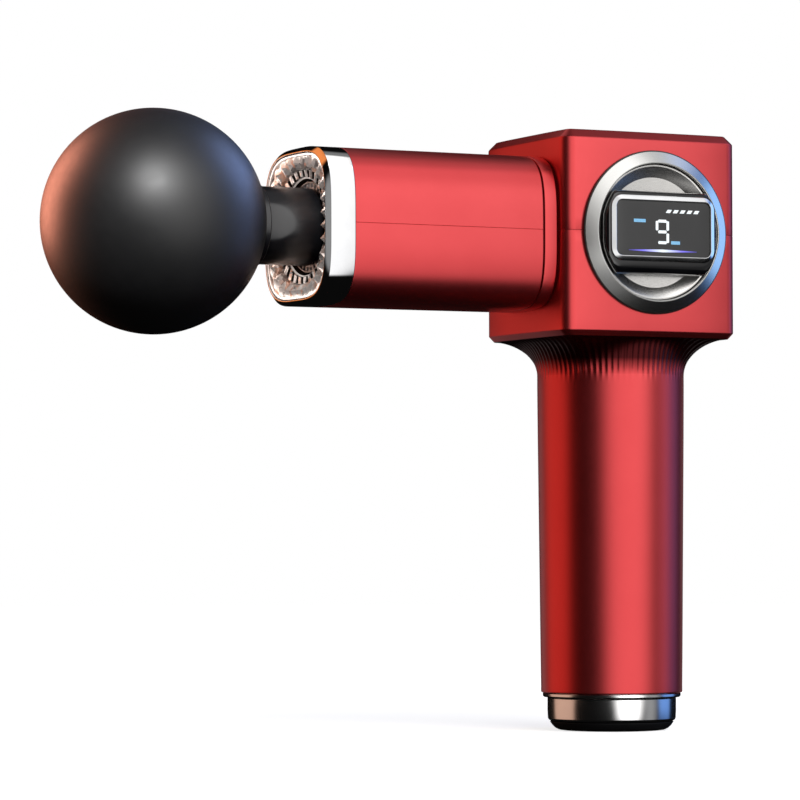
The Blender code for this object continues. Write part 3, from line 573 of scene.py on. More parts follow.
def head_section(z, radius, blend, inset, square):
    """A section between a circle (blend 0) and the head's outline (blend 1)."""
    points, normals = square
    angle = np.arctan2(points[:, 1], points[:, 0])
    circle = np.stack([radius * np.cos(angle), radius * np.sin(angle)], 1)
    shape = circle + (points - normals * inset - circle) * blend
    return np.column_stack([shape, np.full(len(shape), z)])


def flare_rings(square, radius, inset, steps):
    """The concave flare between the round handle and the head."""
    rings = []
    for i in range(steps + 1):
        s = math.sin(math.radians(90 * i / steps))
        blend = 1 - (1 - s * s) ** (1 / FLARE_POWER)
        z = FLARE_START_Z + (FLARE_END_Z - FLARE_START_Z) * s
        rings.append(head_section(z, radius, blend, inset, square))
    return rings


def fluted(rings, fade):
    """Presses the fine flutes into rings of points, each by its share of the depth."""
    grid = np.array(rings)
    around = np.roll(grid, -1, axis=1) - np.roll(grid, 1, axis=1)
    along = np.gradient(grid, axis=0)
    normal = np.cross(around, along)
    normal /= np.linalg.norm(normal, axis=2, keepdims=True)
    angle = np.arctan2(grid[:, :, 1], grid[:, :, 0])
    wave = (0.5 - 0.5 * np.cos(FLUTES * angle)) ** 0.7
    push = -FLUTE_DEPTH * wave * np.asarray(fade)[:, None]
    return list(grid + normal * push[:, :, None])


def handle_rings(square):
    """Outer rings of the handle tube, from its rounded bottom edge to below the flare."""
    low = TUBE_BOTTOM_Z
    start = low + 2 * MM
    end = FLARE_START_Z - 6 * MM
    edge = soften([(TUBE_BOTTOM_R - 1.0 * MM, low), (TUBE_BOTTOM_R, low),
                   (TUBE_BOTTOM_R, start)], 0.45 * MM, closed=False, steps=6)
    rings = [head_section(z, r, 0, 0, square) for r, z in edge]
    for i in range(1, 8):
        t = i / 8
        z = start + (end - start) * t
        r = TUBE_BOTTOM_R + (TUBE_TOP_R - TUBE_BOTTOM_R) * t
        rings.append(head_section(z, r, 0, 0, square))
    return rings


def head_lower():
    """The lower shell: handle tube, fluted flare and the lower half of the head."""
    square = soft_square(HEAD_HALF_X, HEAD_HALF_Y, side_steps=105, corner_steps=22)
    rise = [head_section(FLARE_START_Z - d * MM, TUBE_TOP_R, 0, 0, square)
            for d in (3.0, 2.0, 1.0)]
    flare = rise + flare_rings(square, TUBE_TOP_R, LOW_CHAMFER, 26)
    share = np.linspace(0, 1, len(flare))
    fade = np.clip((share - 0.06) / 0.14, 0, 1) * np.clip((1.0 - share) / 0.35, 0, 1) ** 0.6
    top = AXIS_Z - SEAM
    edge = soften([(LOW_CHAMFER + 0.6 * MM, FLARE_END_Z - 0.25 * MM), (LOW_CHAMFER, FLARE_END_Z),
                   (0, HEAD_SIDE_LOW_Z), (0, HEAD_SIDE_LOW_Z + 3 * MM)], 0.5 * MM, closed=False)
    side = edge[2:] + [(0, top - 3 * MM), (0, top - SEAM_EDGE), (SEAM_NICK, top)]
    outer = handle_rings(square) + fluted(flare, fade)
    outer += [head_section(z, TUBE_TOP_R, 1, inset, square) for inset, z in side]
    tube_inner = TUBE_TOP_R - TUBE_WALL
    inner = [head_section(top, tube_inner, 1, WALL, square)]
    inner += [ring + (0, 0, WALL) for ring in flare_rings(square, tube_inner, WALL, 12)[::-1]]
    inner.append(head_section(50 * MM, tube_inner, 0, 0, square))
    inner.append(head_section(TUBE_BOTTOM_Z, TUBE_BOTTOM_R - TUBE_WALL, 0, 0, square))
    shell = skin("head_shell_lower_fine", outer + inner, RED, loop=True)
    open_head(shell)
    # the flare's faces take the red with painted shade
    repaint(shell, FLARE_RED_PAINTED_SHADE, lambda c: FLARE_START_Z < c.z < FLARE_END_Z + 0.1 * MM)
    return finish_piece(shell, "casing", "red_body", "head_shell_lower")


def head_upper():
    """The upper shell: the top half of the head with its chamfered top."""
    square = soft_square(HEAD_HALF_X, HEAD_HALF_Y, side_steps=60, corner_steps=22)
    low = AXIS_Z + SEAM
    edge = soften([(0, HEAD_TOP_Z - TOP_CHAMFER - 3 * MM), (0, HEAD_TOP_Z - TOP_CHAMFER),
                   (TOP_CHAMFER, HEAD_TOP_Z), (TOP_CHAMFER + 1 * MM, HEAD_TOP_Z)], 0.7 * MM,
                  closed=False, steps=6)
    side = [(SEAM_NICK, low), (0, low + SEAM_EDGE), (0, low + 3 * MM)] + edge
    rim = head_section(HEAD_TOP_Z - WALL, TUBE_TOP_R, 1, WALL, square)
    rings = [rim * (share, share, 1) for share in (0.1, 0.5, 1.0)]
    rings.append(head_section(low, TUBE_TOP_R, 1, WALL, square))
    rings += [head_section(z, TUBE_TOP_R, 1, inset, square) for inset, z in side]
    top = rings[-1]
    rings += [top * (share, share, 1) for share in (0.7, 0.4, 0.1)]
    shell = skin("head_shell_upper_fine", rings, RED)
    open_head(shell)
    return finish_piece(shell, "casing", "red_body", "head_shell_upper")


def open_head(shell):
    """Cuts the ways for the dial and the barrel through the head's walls."""
    sides = [(DIAL_WAY_R, 16 * MM), (DIAL_WAY_R, 26 * MM)]
    cut(shell, turned("dial_way", sides, "-Y", DIAL_AXIS, None, closed=False))
    y, z = superellipse(BARREL_WAY_INSET)
    rings = [placed(y, z, x, "X", BARREL_AXIS) for x in (-30 * MM, -21 * MM)]
    cut(shell, skin("barrel_way", rings, None))


# ---- barrel

def barrel_loop(name, profile, material, radius):
    """A closed profile of (x, inset) points carried round the barrel's section."""
    rings = []
    for x, inset in soften(profile, radius):
        y, z = superellipse(inset)
        rings.append(placed(y, z, x, "X", BARREL_AXIS))
    return skin(name, rings, material, loop=True)


def barrel_half(name, side, node):
    """One half of the barrel's casing, with its fine edge along the parting line."""
    y, z = superellipse(0)
    keep = np.flatnonzero(z * side > SEAM)
    order = keep[np.argsort(np.arctan2(z[keep] * side, y[keep]))]
    outer = np.stack([y[order], z[order]], 1)
    inner_y, inner_z = superellipse(BARREL_WALL)
    inner = np.stack([inner_y[order], inner_z[order]], 1)[::-1]
    seam = side * SEAM
    nick = 0.05 * MM
    right = [(BARREL_HALF_Y - nick, seam), (BARREL_HALF_Y, seam + side * nick)]
    left = [(-BARREL_HALF_Y, seam + side * nick), (-BARREL_HALF_Y + nick, seam)]
    wall = BARREL_HALF_Y - BARREL_WALL
    section = np.concatenate([right, outer, left, [(-wall, seam)], inner, [(wall, seam)]])
    back = COLLAR_LOW.x - GROOVE
    front = RING_LOW.x + RING_DEPTH + 0.05 * MM
    end = section * (1 - 0.02 / 18)     # drawn in slightly, to ease the end's edge
    gaps = (0.06 * MM, 0.2 * MM, 3.0 * MM)
    stations = [(end, back)]
    stations += [(section, back - gap) for gap in gaps]
    stations += [(section, front + gap) for gap in gaps[::-1]]
    stations.append((end, front))
    rings = [placed(*outline.T, x, "X", BARREL_AXIS) for outline, x in stations]
    shell = skin(name, rings, RED)
    return finish_piece(shell, "casing", "red_body", node)


def barrel():
    """Collar at the root, the two casing halves and the chrome ring at the front."""
    back = COLLAR_HIGH.x
    front = COLLAR_LOW.x
    collar = barrel_loop("barrel_collar_fine", [(back, 0), (front, 0), (front, BARREL_WALL),
                                                (back, BARREL_WALL)], RED, 0.25 * MM)
    finish_piece(collar, "casing", "red_body", "barrel_collar")
    barrel_half("barrel_shell_upper_fine", 1, "barrel_shell_upper")
    barrel_half("barrel_shell_lower_fine", -1, "barrel_shell_lower")
    back = RING_LOW.x + RING_DEPTH
    front = RING_LOW.x
    lip = FRONT_BEVEL + 0.25 * MM
    shelf_front = -81.0 * MM
    shelf_back = -76.5 * MM
    wall = 2.2 * MM
    profile = [(back, 0), (front + FRONT_BEVEL, 0), (front, FRONT_BEVEL), (front, lip),
               (shelf_front, lip), (shelf_front, 3.3 * MM), (shelf_back, 3.3 * MM),
               (shelf_back, wall), (back, wall)]
    ring = barrel_loop("front_ring_fine", profile, CHROME, 0.12 * MM)
    finish_piece(ring, "casing", "chrome_trim", "front_ring")


def grille():
    """The dished grille: a smooth rim, ridged facets, open fins and small fins in the hole, with
    painted shade down the hole.
    """
    teeth = 30
    rings = []

    def add(share, x, fin=0.94, ridge=0.0, depth=0.0):
        """A ring at a share of the way out, its ridged fins parted by sunk gaps."""
        fins = np.array([0, 0.3, 0.6, 0.8, 1.0]) * fin
        gaps = fin + np.array([0.08, 0.36, 0.64, 0.92]) * (1 - fin)
        turns = np.arange(teeth)[:, None] + np.concatenate([fins, gaps]) - 0.5 * share
        angle = turns.ravel() * 2 * math.pi / teeth
        lift = np.concatenate([ridge * np.array([0, 0.5, 1.0, 0.5, 0]), np.full(4, -depth)])
        y, z = superellipse(FRONT_BEVEL + 0.5 * MM, angle)
        hole_y = HOLE_R * np.cos(angle)
        hole_z = HOLE_R * np.sin(angle)
        rings.append(placed(hole_y + (y - hole_y) * share, hole_z + (z - hole_z) * share,
                            (x - np.tile(lift, teeth)) * MM, "X", BARREL_AXIS))

    add(1.0, -85.0)
    add(1.0, -86.95)
    add(0.97, -87.05)
    add(0.93, -86.95)
    add(0.91, -86.6)
    for t in np.linspace(0, 1, 8):
        add(0.90 - 0.26 * t, -86.3 + 0.35 * t, 0.94, 0.4 + 1.1 * t)
    for t in np.linspace(0, 1, 8):
        add(0.63 - 0.22 * t, -86.1 + 0.3 * t, 0.94 - 0.42 * t, 1.0 - 0.5 * t,
            1.7 * min(1.0, t * 7))
    add(0.405, -84.6, 0.56, 0.0, 0.2)
    add(0.36, -84.6, 0.5, 0.0, 0.2)
    for t in np.linspace(0, 1, 6):
        add(0.35 - 0.27 * t, -85.2 + 0.2 * t, 0.55, 0.3, 0.8)
    add(0.06, -84.6)
    add(0.0, -84.4)
    add(0.0, -82.4)
    add(0.5, -82.5)
    piece = skin("vent_grille_fine", rings, GRILLE, loop=True, sharp=20)
    repaint(piece, GRILLE_FACETS, lambda c: c.x > FACETS_X)
    # painted shade: the inside of the grille's hole is near black
    repaint(piece, PAINTED_SHADE_DARK, lambda c: c.x > SHADE_X)
    return finish_piece(piece, "casing", "grille_metal", "vent_grille")


# ---- moving head

def plunger():
    """The drive plunger, a tube with a serrated ring on its front face."""
    teeth = 34
    segments = teeth * 6
    angle = np.linspace(0, 2 * math.pi, segments, endpoint=False)
    tooth = np.where(np.arange(segments) % 6 < 3, 1.0, 0.0)
    profile = [(10.95, -83.65, 0), (11.0, -83.2, 0), (11.0, -28.4, 0), (10.6, -28.0, 0),
               (8.2, -28.0, 0), (8.2, -28.6, 0), (8.2, -83.0, 0), (8.5, -83.3, 0),
               (9.6, -83.3, 0), (9.7, -83.25, 0.4), (10.6, -83.25, 0.4), (10.7, -83.65, 0)]
    rings = []
    for radius, x, depth in profile:
        along = (x + depth * tooth) * MM
        rings.append(placed(radius * MM * np.cos(angle), radius * MM * np.sin(angle), along, "X",
                            BARREL_AXIS))
    piece = skin("plunger_fine", rings, STEEL, loop=True)
    return finish_piece(piece, "plunger", "steel", "plunger")


def stem():
    """The ball's plug-in stem: a neck with two grip scallops and a collar at the ball."""
    profile = [(6.5, -111.9), (7.0, -111.4), (7.0, -99.6), (10.1, -99.6), (10.2, -99.4),
               (10.2, -98.2), (9.9, -97.9), (9.5, -97.8)]
    profile += [(9.4, -97.6 + 13.5 * i / 54) for i in range(55)]
    profile += [(9.3, -84.0), (7.9, -83.95), (7.9, -70.0), (6.6, -69.8), (6.6, -68.4),
                (7.9, -68.2), (7.9, -61.9), (7.3, -61.3)]
    angle = np.linspace(0, 2 * math.pi, 256, endpoint=False)
    scallop_r = 30.0
    scallop_x = -97.3
    rounding = 0.12
    rings = []
    for radius, x in profile:
        y = radius * np.cos(angle)
        z = radius * np.sin(angle)
        if x > scallop_x - 0.4 and radius > 9.35:   # the grip's two sides
            limit = 8.9 + scallop_r - math.sqrt(scallop_r ** 2 - (x - scallop_x) ** 2)
            limit = limit - 0.03 * z ** 2
            over = np.maximum(np.abs(y) - limit + rounding, 0)
            eased = np.abs(y) - over ** 2 / (4 * rounding)
            y = np.sign(y) * np.where(over < 2 * rounding, eased, limit)
        rings.append(placed(y * MM, z * MM, x * MM, "X", BARREL_AXIS))
    piece = skin("head_stem_fine", rings, STEM_BLACK, sharp=25)
    return finish_piece(piece, "head", "black_plastic", "head_stem")


def ball():
    """The ball, a turned shape with its flat seat and the socket for the stem."""
    low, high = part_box("massage_ball")
    radius = (high.z - low.z) / 2
    centre_x = low.x + radius
    seat_x = high.x
    seat_angle = math.degrees(math.acos((seat_x - centre_x) / radius))
    tip_angle = 179.5
    socket_r = 7.3 * MM
    socket_x = -112.2 * MM
    steps = 90
    profile = []
    for i in range(steps + 1):
        angle = math.radians(tip_angle + (seat_angle - tip_angle) * i / steps)
        profile.append((radius * math.sin(angle), centre_x + radius * math.cos(angle)))
    profile += soften([profile[-1], (socket_r, seat_x), (socket_r, socket_x)], 0.4 * MM,
                      closed=False)[1:]
    piece = turned("massage_ball_fine", profile, "X", BARREL_AXIS, SOFT_BLACK, closed=False,
                   segments=192)
    return finish_piece(piece, "head", "soft_black", "massage_ball")


# ---- dial

def bezel():
    """The fixed bezel: a thin outer edge in painted shade, a broad brushed cone and an inner lip.
    """
    outline = [(16.85, 23.8), (17.2, 23.8), (19.85, 22.34), (20.2, 22.15), (20.2, 21.75),
               (19.0, 21.75), (19.0, 19.4), (17.6, 19.4), (17.6, 21.4), (16.85, 21.4)]
    ring = turned_outline("bezel_ring_fine", outline, 0.14, "-Y", DIAL_AXIS, BEZEL_METAL)
    # painted shade: its outer edge is near black, for the shadow in the gap round the bezel
    repaint(ring, PAINTED_SHADE_DARK, lambda c: math.hypot(c.x - DIAL_X, c.z - AXIS_Z) > BEZEL_EDGE_R)
    return finish_piece(ring, "casing", "chrome_trim", "bezel_ring")


def dish():
    """The dial's brushed dish, a floor with a sloping wall and a rolled rim."""
    outline = [(0.3, 21.0), (4.0, 21.0), (13.6, 21.0), (16.2, 22.7), (16.65, 22.75),
               (16.65, 21.05), (17.3, 21.05), (17.3, 20.1), (4.0, 20.1), (0.3, 20.1)]
    piece = turned_outline("dial_dish_fine", outline, 0.16, "-Y", DIAL_AXIS, BRUSHED,
                           closed=False)
    return finish_piece(piece, "dial", "brushed_metal", "dial_dish")


def pad(name, levels, axis, material):
    """A pad skinned through levels in mm: height, half width, half depth, corner and rise.

    It keeps within the dish, whose wall widens from its floor up to its rim.
    """
    floor_height, floor_r, rim_r = 21.0, 13.4, 16.05
    rings = []
    for height, half_a, half_b, corner, rise in levels:
        outline = round_rectangle(half_a * MM, half_b * MM, corner * MM) + (0, rise * MM)
        reach = np.hypot(*outline.T)
        limit = min(rim_r, floor_r + (height - floor_height) * 1.5) * MM
        outline = outline * np.minimum(1, limit / reach)[:, None]
        rings.append(placed(*outline.T, height * MM, "-Y", axis))
    return skin(name, rings, material)


def display_bar():
    """The black bar across the dish, its chrome frame and its window."""
    levels = [(21.25, 15.7, 10.0, 3.6, -0.4), (22.4, 15.8, 10.2, 3.7, -0.4),
              (23.4, 15.7, 10.2, 3.7, -0.4)]
    for i in range(11):
        t = math.radians(90 * i / 10)
        fall = 1 - math.cos(t)
        levels.append((24.0 + 1.5 * math.sin(t), 15.7 - 0.9 * fall, 10.15 - 1.7 * fall, 3.6,
                       -0.3 + 0.8 * fall))
    bar = pad("display_bar_fine", levels, DIAL_AXIS, GLOSS_BLACK)
    finish_piece(bar, "dial", "gloss_black", "display_bar", "display_board")

    section = [(0.0, 25.35), (0.0, 25.7), (0.1, 25.85), (1.15, 26.34), (1.3, 26.25),
               (1.3, 25.35)]
    rings = []
    for inset, height in soften(section, 0.1):
        outline = round_rectangle((14.6 - inset) * MM, (8.1 - inset) * MM,
                                  (3.3 - 1.3 * inset) * MM)
        rings.append(placed(*outline.T, height * MM, "-Y", SCREEN_AXIS))
    rim = skin("display_frame_fine", rings, FRAME_METAL, loop=True)
    finish_piece(rim, "dial", "chrome_trim", "display_frame")

    levels = [(25.4, 13.25, 6.75, 1.6, 0), (25.85, 13.25, 6.75, 1.6, 0),
              (25.97, 13.1, 6.6, 1.5, 0), (26.0, 12.8, 6.3, 1.4, 0), (26.0, 10.0, 4.0, 1.0, 0)]
    window = pad("screen_lens_fine", levels, SCREEN_AXIS, GLASS)
    finish_piece(window, "dial", "screen", "screen_lens")


def tiles(name, shapes, material):
    """Flat lit shapes set into the window's face, each an outline of (x, z) in mm."""
    points = []
    faces = []
    for shape in shapes:
        start = len(points)
        count = len(shape)
        for height in (25.98, 26.03):
            for x, z in shape:
                points.append((DIAL_X + x * MM, -height * MM, AXIS_Z + z * MM))
        faces.append(tuple(start + i for i in range(count)))
        faces.append(tuple(start + count + i for i in reversed(range(count))))
        for i in range(count):
            j = (i + 1) % count
            faces.append((start + i, start + count + i, start + count + j, start + j))
    piece = make_object(name, points, faces, material)
    return finish_piece(piece, "dial", "screen")


def slab(x0, x1, z0, z1, slant=0.0):
    """A bar with its top edge shifted by a slant."""
    return [(x0, z0), (x1, z0), (x1 + slant, z1), (x0 + slant, z1)]


def segment_digit(x0, x1, z0, z1, lit, thick=0.72, gap=0.1):
    """The lit bars of a seven-segment digit, named a to g."""
    middle = (z0 + z1) / 2
    half = thick / 2
    flat = {"a": z1 - half, "g": middle, "d": z0 + half}
    upright = {"b": (x1, middle, z1), "c": (x1, z0, middle), "e": (x0, z0, middle),
               "f": (x0, middle, z1)}
    shapes = []
    for key in lit:
        if key in flat:
            z = flat[key]
            low = x0 + thick + gap
            high = x1 - thick - gap
            shapes.append([(low - half / 2, z), (low, z - half), (high, z - half),
                           (high + half / 2, z), (high, z + half), (low, z + half)])
        else:
            edge, low, high = upright[key]
            inner = edge - thick if edge == x1 else edge + thick
            left, right = min(edge, inner), max(edge, inner)
            low = low + half + gap
            high = high - half - gap
            shapes.append([(left, low), ((left + right) / 2, low - half / 2), (right, low),
                           (right, high), ((left + right) / 2, high + half / 2), (left, high)])
    return shapes


def display_marks():
    """Battery bars, the level digit, two blue dashes and the glow line."""
    bars = []
    pitch = 1.96
    for i in range(5):
        x = 0.6 + pitch * i
        bars.append(slab(x, x + 1.2, 4.5, 5.3, 0.55))
    digit_low = -3.2
    digit = segment_digit(-2.25, 1.5, digit_low, 2.8, "abcdfg")
    tiles("display_white_marks", bars + digit, WHITE_LIGHT)
    blue = [slab(-8.4, -5.1, 2.0, 2.8), slab(2.1, 4.6, digit_low, -2.4)]
    tiles("display_blue_marks", blue, BLUE_LIGHT)
    middle = GLOW_X / MM
    half = GLOW_HALF / MM
    line = [(middle + half * a, -4.87 + b) for a, b in
            ((-1, -0.1), (0, -0.34), (1, -0.1), (1, 0.1), (0, 0.34), (-1, 0.1))]
    tiles("display_glow_line", [line], GLOW_LIGHT)


# ---- foot

def foot():
    """Thin chrome lip, chrome base cap with the socket's mouth, and the rubber foot."""
    lip = [(15.6, 8.2), (16.9, 8.2), (17.2, 8.5), (17.2, 9.15), (15.6, 9.15)]
    ring = turned_outline("base_lip_fine", lip, 0.1, "Z", ORIGIN, BAND_CHROME)
    finish_piece(ring, "casing", "chrome_trim", "base_lip_ring")

    cap = [(0.5, 3.4), (13.9, 3.4), (13.9, 14.0), (15.5, 14.0), (15.5, 8.05),
           (16.05, 8.05), (16.05, 5.0), (15.95, 2.9), (15.6, 2.4), (0.5, 2.4)]
    band = turned_outline("base_cap_fine", cap, 0.25, "Z", ORIGIN, BAND_CHROME, closed=False)
    mouth = round_rectangle(4.8 * MM, 1.95 * MM, 1.6 * MM)
    rings = [placed(*mouth.T, -y * MM, "-Y", (0, PORT_Z)) for y in (9.0, 19.0)]
    cut(band, skin("port_way", rings, None))
    finish_piece(band, "casing", "chrome_trim", "base_cap")

    sole = [(0.5, 2.15), (15.5, 2.15), (15.2, 1.7), (14.75, 1.1), (14.1, 0.5),
            (13.3, 0.1), (12.6, 0.0), (11.6, 0.0), (11.4, 0.35), (0.5, 0.35)]
    sole_pad = turned_outline("rubber_foot_fine", sole, 0.4, "Z", ORIGIN, FOOT_RUBBER,
                              closed=False, segments=160)
    finish_piece(sole_pad, "casing", "soft_black", "rubber_foot")


# ---- stage

def direction(azimuth, elevation):
    """Unit vector towards an azimuth, where 0 is -Y and 90 is +X, and an elevation."""
    a = math.radians(azimuth)
    e = math.radians(elevation)
    return Vector((math.sin(a) * math.cos(e), -math.cos(a) * math.cos(e), math.sin(e)))


def softbox(name, aim, azimuth, elevation, distance, size, colour, radiance, lit=(),
            soft=(0.2, 0.2)):
    """An area light with faded edges, facing a point. It lights only the pieces in lit, if any.

    Its power follows from its size, so it looks equally bright at any size.
    """
    light = bpy.data.lights.new(name, "AREA")
    light.shape = "RECTANGLE"
    light.size, light.size_y = size
    light.color = colour
    light.energy = radiance * math.pi * size[0] * size[1]
    light.use_nodes = True
    tree = light.node_tree
    place = tree.nodes.new("ShaderNodeNewGeometry")
    split = tree.nodes.new("ShaderNodeSeparateXYZ")
    tree.links.new(place.outputs["Parametric"], split.inputs["Vector"])

    def maths(operation, a, b):
        node = tree.nodes.new("ShaderNodeMath")
        node.operation = operation
        for socket, value in zip(node.inputs, (a, b)):
            if isinstance(value, float):
                socket.default_value = value
            else:
                tree.links.new(value, socket)
        return node.outputs[0]

    fades = []
    for axis, width in zip("XY", soft):
        across = split.outputs[axis]
        fade = tree.nodes.new("ShaderNodeMapRange")
        fade.interpolation_type = "SMOOTHSTEP"
        fade.inputs["From Max"].default_value = width
        tree.links.new(maths("MINIMUM", across, maths("SUBTRACT", 1.0, across)),
                       fade.inputs["Value"])
        fades.append(fade.outputs["Result"])
    tree.links.new(maths("MULTIPLY", *fades), tree.nodes["Emission"].inputs["Strength"])
    obj = bpy.data.objects.new(name, light)
    toward = direction(azimuth, elevation)
    obj.location = Vector(aim) + toward * distance
    obj.rotation_mode = "QUATERNION"
    obj.rotation_quaternion = toward.to_track_quat("Z", "Y")
    obj.visible_camera = False
    bpy.context.scene.collection.objects.link(obj)
    if lit:
        only = bpy.data.collections.new(name + "_lit")
        for piece in lit:
            only.objects.link(bpy.data.objects[piece])
        obj.light_linking.receiver_collection = only
    return obj


WHITE = (1.0, 1.0, 1.0)
SOFT_WHITE = (1.0, 0.985, 0.97)

# Points that the lights face
BODY = (-0.02, 0.0, 0.09)
BARREL = (-0.03, 0.0, 0.123)
FRONT = (-0.087, 0.0, 0.123)
BALL = (-0.124, 0.0, 0.123)
DIAL = (0.0, -0.022, 0.123)

# Places that lights share: point, azimuth, elevation, distance and size
OVERHEAD = (BARREL, 0, 72, 0.5, (0.7, 0.5))
LEFT_REAR = (BODY, -127, 16, 0.6, (0.80, 1.1))

# Pieces that lights pick out
RING_PIECE = ("front_ring_fine",)
GRILLE_PIECE = ("vent_grille_fine",)
DISH_PIECE = ("dial_dish_fine",)
FRAME_PIECE = ("display_frame_fine",)
BALL_PIECE = ("massage_ball_fine",)
BARREL_SHELLS = ("barrel_collar_fine", "barrel_shell_upper_fine", "barrel_shell_lower_fine")
RED_PIECES = ("head_shell_lower_fine", "head_shell_upper_fine") + BARREL_SHELLS
DIAL_PIECES = ("bezel_ring_fine",) + DISH_PIECE + FRAME_PIECE
DARK_PIECES = BALL_PIECE + ("head_stem_fine", "base_lip_fine", "base_cap_fine",
                            "rubber_foot_fine", "display_bar_fine", "screen_lens_fine",
                            "plunger_fine")


def lights():
    """Soft studio light: white from the front, warm from the left rear, blue from the right."""
    softbox("key", BODY, 3, 20, 0.6, (0.84, 1.16), SOFT_WHITE, 2.2,
            ("bezel_ring_fine", "floor") + DISH_PIECE + DARK_PIECES, (0.38, 0.15))
    softbox("wide_key", BODY, 0, 12, 0.6, (1.4, 1.55), WHITE, 1.14,
            RED_PIECES + RING_PIECE + GRILLE_PIECE + FRAME_PIECE, (0.35, 0.12))
    softbox("core", BARREL, 24, 14, 0.6, (0.42, 0.34), (0.6, 1.0, 1.0), 0.75, RED_PIECES,
            (0.3, 0.3))
    softbox("brow", *OVERHEAD, SOFT_WHITE, 1.1, RING_PIECE)
    softbox("brow_red", *OVERHEAD, SOFT_WHITE, 0.45, BARREL_SHELLS)
    softbox("flank", BODY, 45, 14, 0.6, (0.5, 1.1), WHITE, 0.30,
            DIAL_PIECES + DARK_PIECES + RING_PIECE, (0.45, 0.15))
    softbox("flank_red", BODY, 62, 14, 0.6, (0.4, 1.1), (1.0, 0.92, 0.92), 0.5, RED_PIECES,
            (0.45, 0.15))
    softbox("warm", *LEFT_REAR, (1.0, 0.60, 0.44), 0.62, DIAL_PIECES + DARK_PIECES, (0.18, 0.16))
    softbox("warm_red", *LEFT_REAR, (1.0, 0.36, 0.26), 0.66, RED_PIECES, (0.18, 0.16))
    softbox("blue", BODY, 80, 18, 0.6, (0.5, 0.95), (0.20, 0.42, 1.0), 0.8, soft=(0.25, 0.2))
    softbox("top", BODY, 80, 62, 0.6, (0.8, 0.7), WHITE, 0.2, soft=(0.25, 0.25))
    softbox("back_top", BODY, 180, 60, 0.6, (0.5, 0.5), WHITE, 0.5, RED_PIECES, (0.3, 0.3))
    softbox("rear_left", BODY, 186, -13, 0.8, (0.45, 0.61), WHITE, 0.25, RED_PIECES)
    softbox("rear_right", BODY, 126, -13, 0.8, (0.32, 0.61), WHITE, 0.2, RED_PIECES)
    softbox("dial_blue", DIAL, 98, 6, 0.5, (0.7, 0.46), (0.38, 0.64, 1.0), 1.4, DIAL_PIECES)
    softbox("dial_top", DIAL, 80, 70, 0.5, (0.9, 0.9), WHITE, 0.6, DIAL_PIECES)
    softbox("ring_edge", BARREL, -64, 2, 0.5, (0.2, 0.5), WHITE, 0.26, RING_PIECE, (0.3, 0.3))
    softbox("ring_warm", *LEFT_REAR, (1.0, 0.30, 0.08), 0.95, RING_PIECE, (0.18, 0.16))
    softbox("dish_light", DIAL, 56, 57, 0.5, (0.55, 0.5), WHITE, 0.6, DISH_PIECE, (0.3, 0.3))
    softbox("dial_low", DIAL, -10, -26, 0.5, (0.7, 0.4), WHITE, 0.32, DIAL_PIECES, (0.3, 0.3))
    softbox("grille_light", FRONT, -160, 8, 0.5, (1.05, 0.85), (1.0, 0.89, 0.82), 7.0, GRILLE_PIECE)
    softbox("grille_warm", FRONT, -150, 55, 0.5, (0.5, 0.3), (1.0, 0.42, 0.2), 4.0, GRILLE_PIECE)
    softbox("ball_light", BALL, -21, 37, 0.7, (0.2, 0.2), WHITE, 128,
            BALL_PIECE + ("head_stem_fine",))
    softbox("ball_warm", BALL, -150, 17, 0.5, (0.34, 0.5), (1.0, 0.33, 0.21), 15.0, BALL_PIECE)
    softbox("ball_blue", BALL, 95, 18, 0.5, (0.3, 0.7), (0.35, 0.5, 1.0), 8.0, BALL_PIECE)


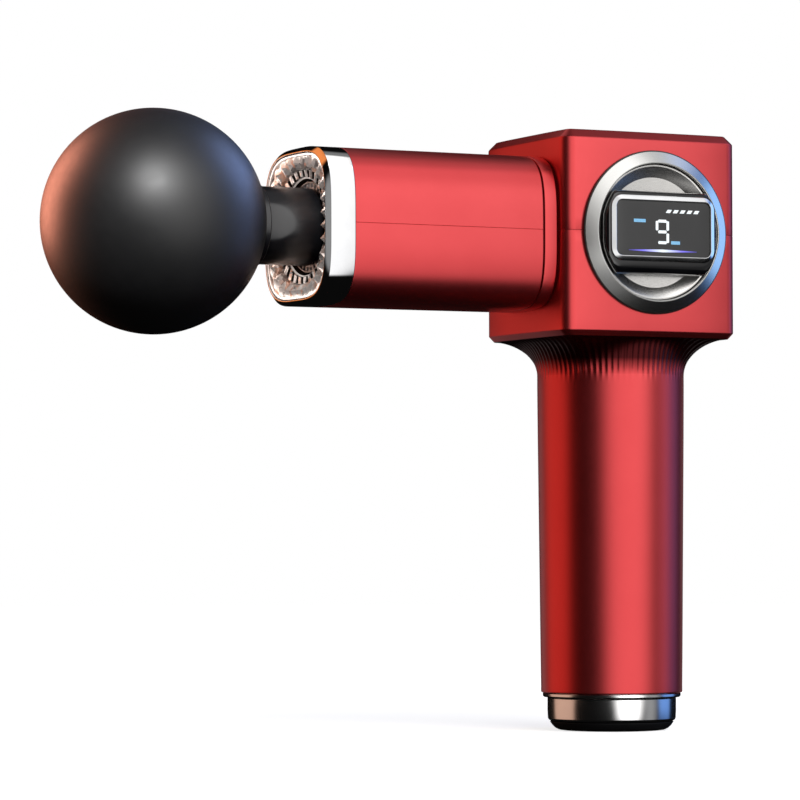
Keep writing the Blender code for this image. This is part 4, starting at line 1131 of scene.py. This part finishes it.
def world():
    """White to the camera and nearly dark to everything else."""
    made = bpy.data.worlds.new("studio")
    bpy.context.scene.world = made
    made.use_nodes = True
    tree = made.node_tree
    back = tree.nodes["Background"]
    path = tree.nodes.new("ShaderNodeLightPath")
    level = tree.nodes.new("ShaderNodeMapRange")
    level.inputs["To Min"].default_value = 0.003
    level.inputs["To Max"].default_value = 1.0
    tree.links.new(path.outputs["Is Camera Ray"], level.inputs["Value"])
    tree.links.new(level.outputs["Result"], back.inputs["Strength"])
    back.inputs["Color"].default_value = (*WHITE, 1.0)


def floor():
    """A plain pale floor with a painted glow, dimmer near the object as painted shade, where it
    also takes a soft shadow; white beyond it.
    """
    angle = np.linspace(0, 2 * math.pi, 64, endpoint=False)
    rings = [placed(r * np.cos(angle), r * np.sin(angle), -0.1 * MM, "Z", ORIGIN)
             for r in (2.0, 0.01)]
    n = Nodes("floor")
    n.set(Roughness=0.9, Specular_IOR_Level=0.0)
    n.set(Emission_Color=(*WHITE, 1.0))
    reach = n.add("ShaderNodeVectorMath", operation="LENGTH")
    n.link(n.place, reach.inputs[0])
    # the glow is painted light: 0.8 near the object, a painted shade round it, rising to white by
    # 25 cm
    n.wire(Base_Color=n.colours(n.noise(40.0), (0.3, (0.86, 0.86, 0.86)), (0.7, (0.9, 0.9, 0.9))),
           Emission_Strength=n.spread(reach.outputs["Value"], 0.8, 1.0, 0.03, 0.25))
    base = skin("floor", rings, n.material)
    base.visible_glossy = False
    base.visible_diffuse = False
    base.visible_shadow = False


def camera():
    """A long lens low in front, from between the dial's side and the ball's."""
    eye = bpy.data.objects.new("camera", bpy.data.cameras.new("camera"))
    eye.data.lens = 175.15
    eye.data.sensor_width = 36.0
    yaw, pitch, roll = -26.565, 92.126, -0.121
    turn = (Matrix.Rotation(math.radians(yaw), 4, "Z")
            @ Matrix.Rotation(math.radians(pitch), 4, "X")
            @ Matrix.Rotation(math.radians(roll), 4, "Z"))
    eye.matrix_world = Matrix.Translation((-0.4834, -0.8488, 0.0463)) @ turn
    bpy.context.scene.collection.objects.link(eye)
    bpy.context.scene.camera = eye
    bpy.context.scene.view_settings.view_transform = "Standard"


camera()
paint_inner_parts()
head_lower()
head_upper()
barrel()
grille()
plunger()
stem()
ball()
bezel()
dish()
display_bar()
display_marks()
foot()
floor()
lights()
world()
